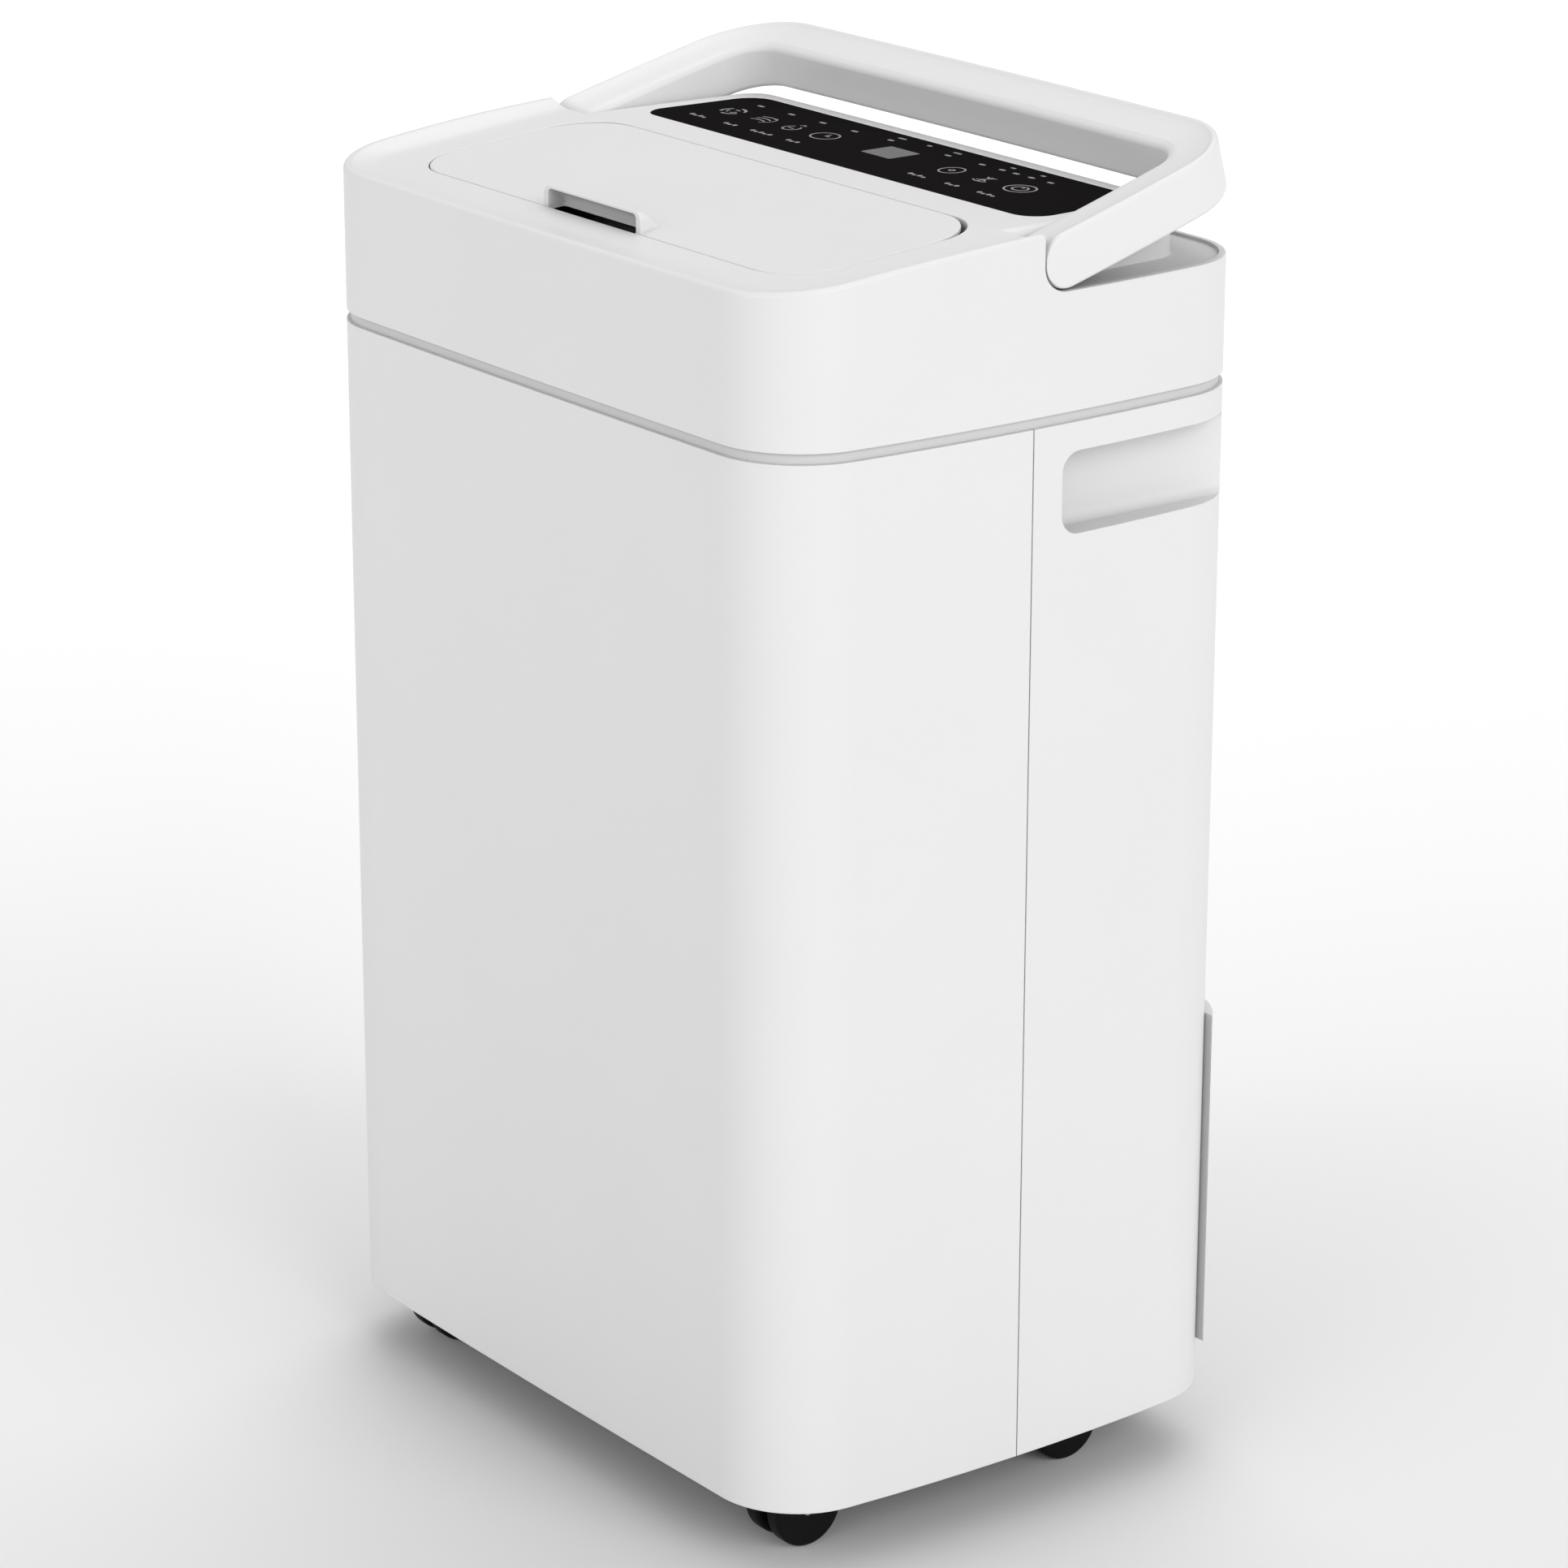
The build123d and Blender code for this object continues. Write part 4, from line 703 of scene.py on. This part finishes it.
tree.links.new(between(tree, fine, 0.8, 0.9), shader.inputs["Roughness"])
shader.inputs["Specular IOR Level"].default_value = 0.1
bumped(tree, shader, fine, 0.1, 0.0001)
floor_mesh.materials.append(floor_material)

SKY_STRENGTH = 0.62
world = bpy.data.worlds.new("studio")
bpy.context.scene.world = world
world.use_nodes = True
world.node_tree.nodes["Background"].inputs["Color"].default_value = (1, 1, 1, 1)
world.node_tree.nodes["Background"].inputs["Strength"].default_value = SKY_STRENGTH


def soft_sun(name, azimuth, elevation, strength, spread):
    """A wide, soft sun. Azimuth 0 shines from the front and 90 from the right."""
    light = bpy.data.lights.new(name, "SUN")
    light.energy = strength
    light.angle = math.radians(spread)
    lamp = bpy.data.objects.new(name, light)
    bpy.context.scene.collection.objects.link(lamp)
    a, e = math.radians(azimuth), math.radians(elevation)
    towards = Vector((math.sin(a) * math.cos(e), -math.cos(a) * math.cos(e), math.sin(e)))
    lamp.rotation_euler = towards.to_track_quat("Z", "Y").to_euler()
    return lamp


soft_sun("front_sun", 5.0, 20.0, 0.66, 50.0)
soft_sun("right_sun", 92.0, 22.0, 1.38, 50.0)
soft_sun("back_sun", 225.0, 56.0, 0.7, 40.0)

scene = bpy.context.scene
scene.view_settings.view_transform = "Standard"
scene.view_settings.look = "None"
scene.cycles.diffuse_bounces = 1     # keeps the hollows darker than full bounces would
camera_data = bpy.data.cameras.new("camera")
camera_data.lens = 122.6
camera_data.sensor_width = 36.0
camera_data.clip_start, camera_data.clip_end = 0.05, 200.0
camera = bpy.data.objects.new("camera", camera_data)
scene.collection.objects.link(camera)
camera.location = (1.8325, -1.3637, 1.0582)
yaw, pitch, roll = math.radians(53.234), math.radians(18.491), math.radians(0.109)
camera.rotation_mode = "XYZ"
tilt = Matrix.Rotation(math.pi / 2 - pitch, 4, "X") @ Matrix.Rotation(roll, 4, "Z")
aim = Matrix.Rotation(yaw, 4, "Z") @ tilt
camera.rotation_euler = aim.to_euler("XYZ")
scene.camera = camera
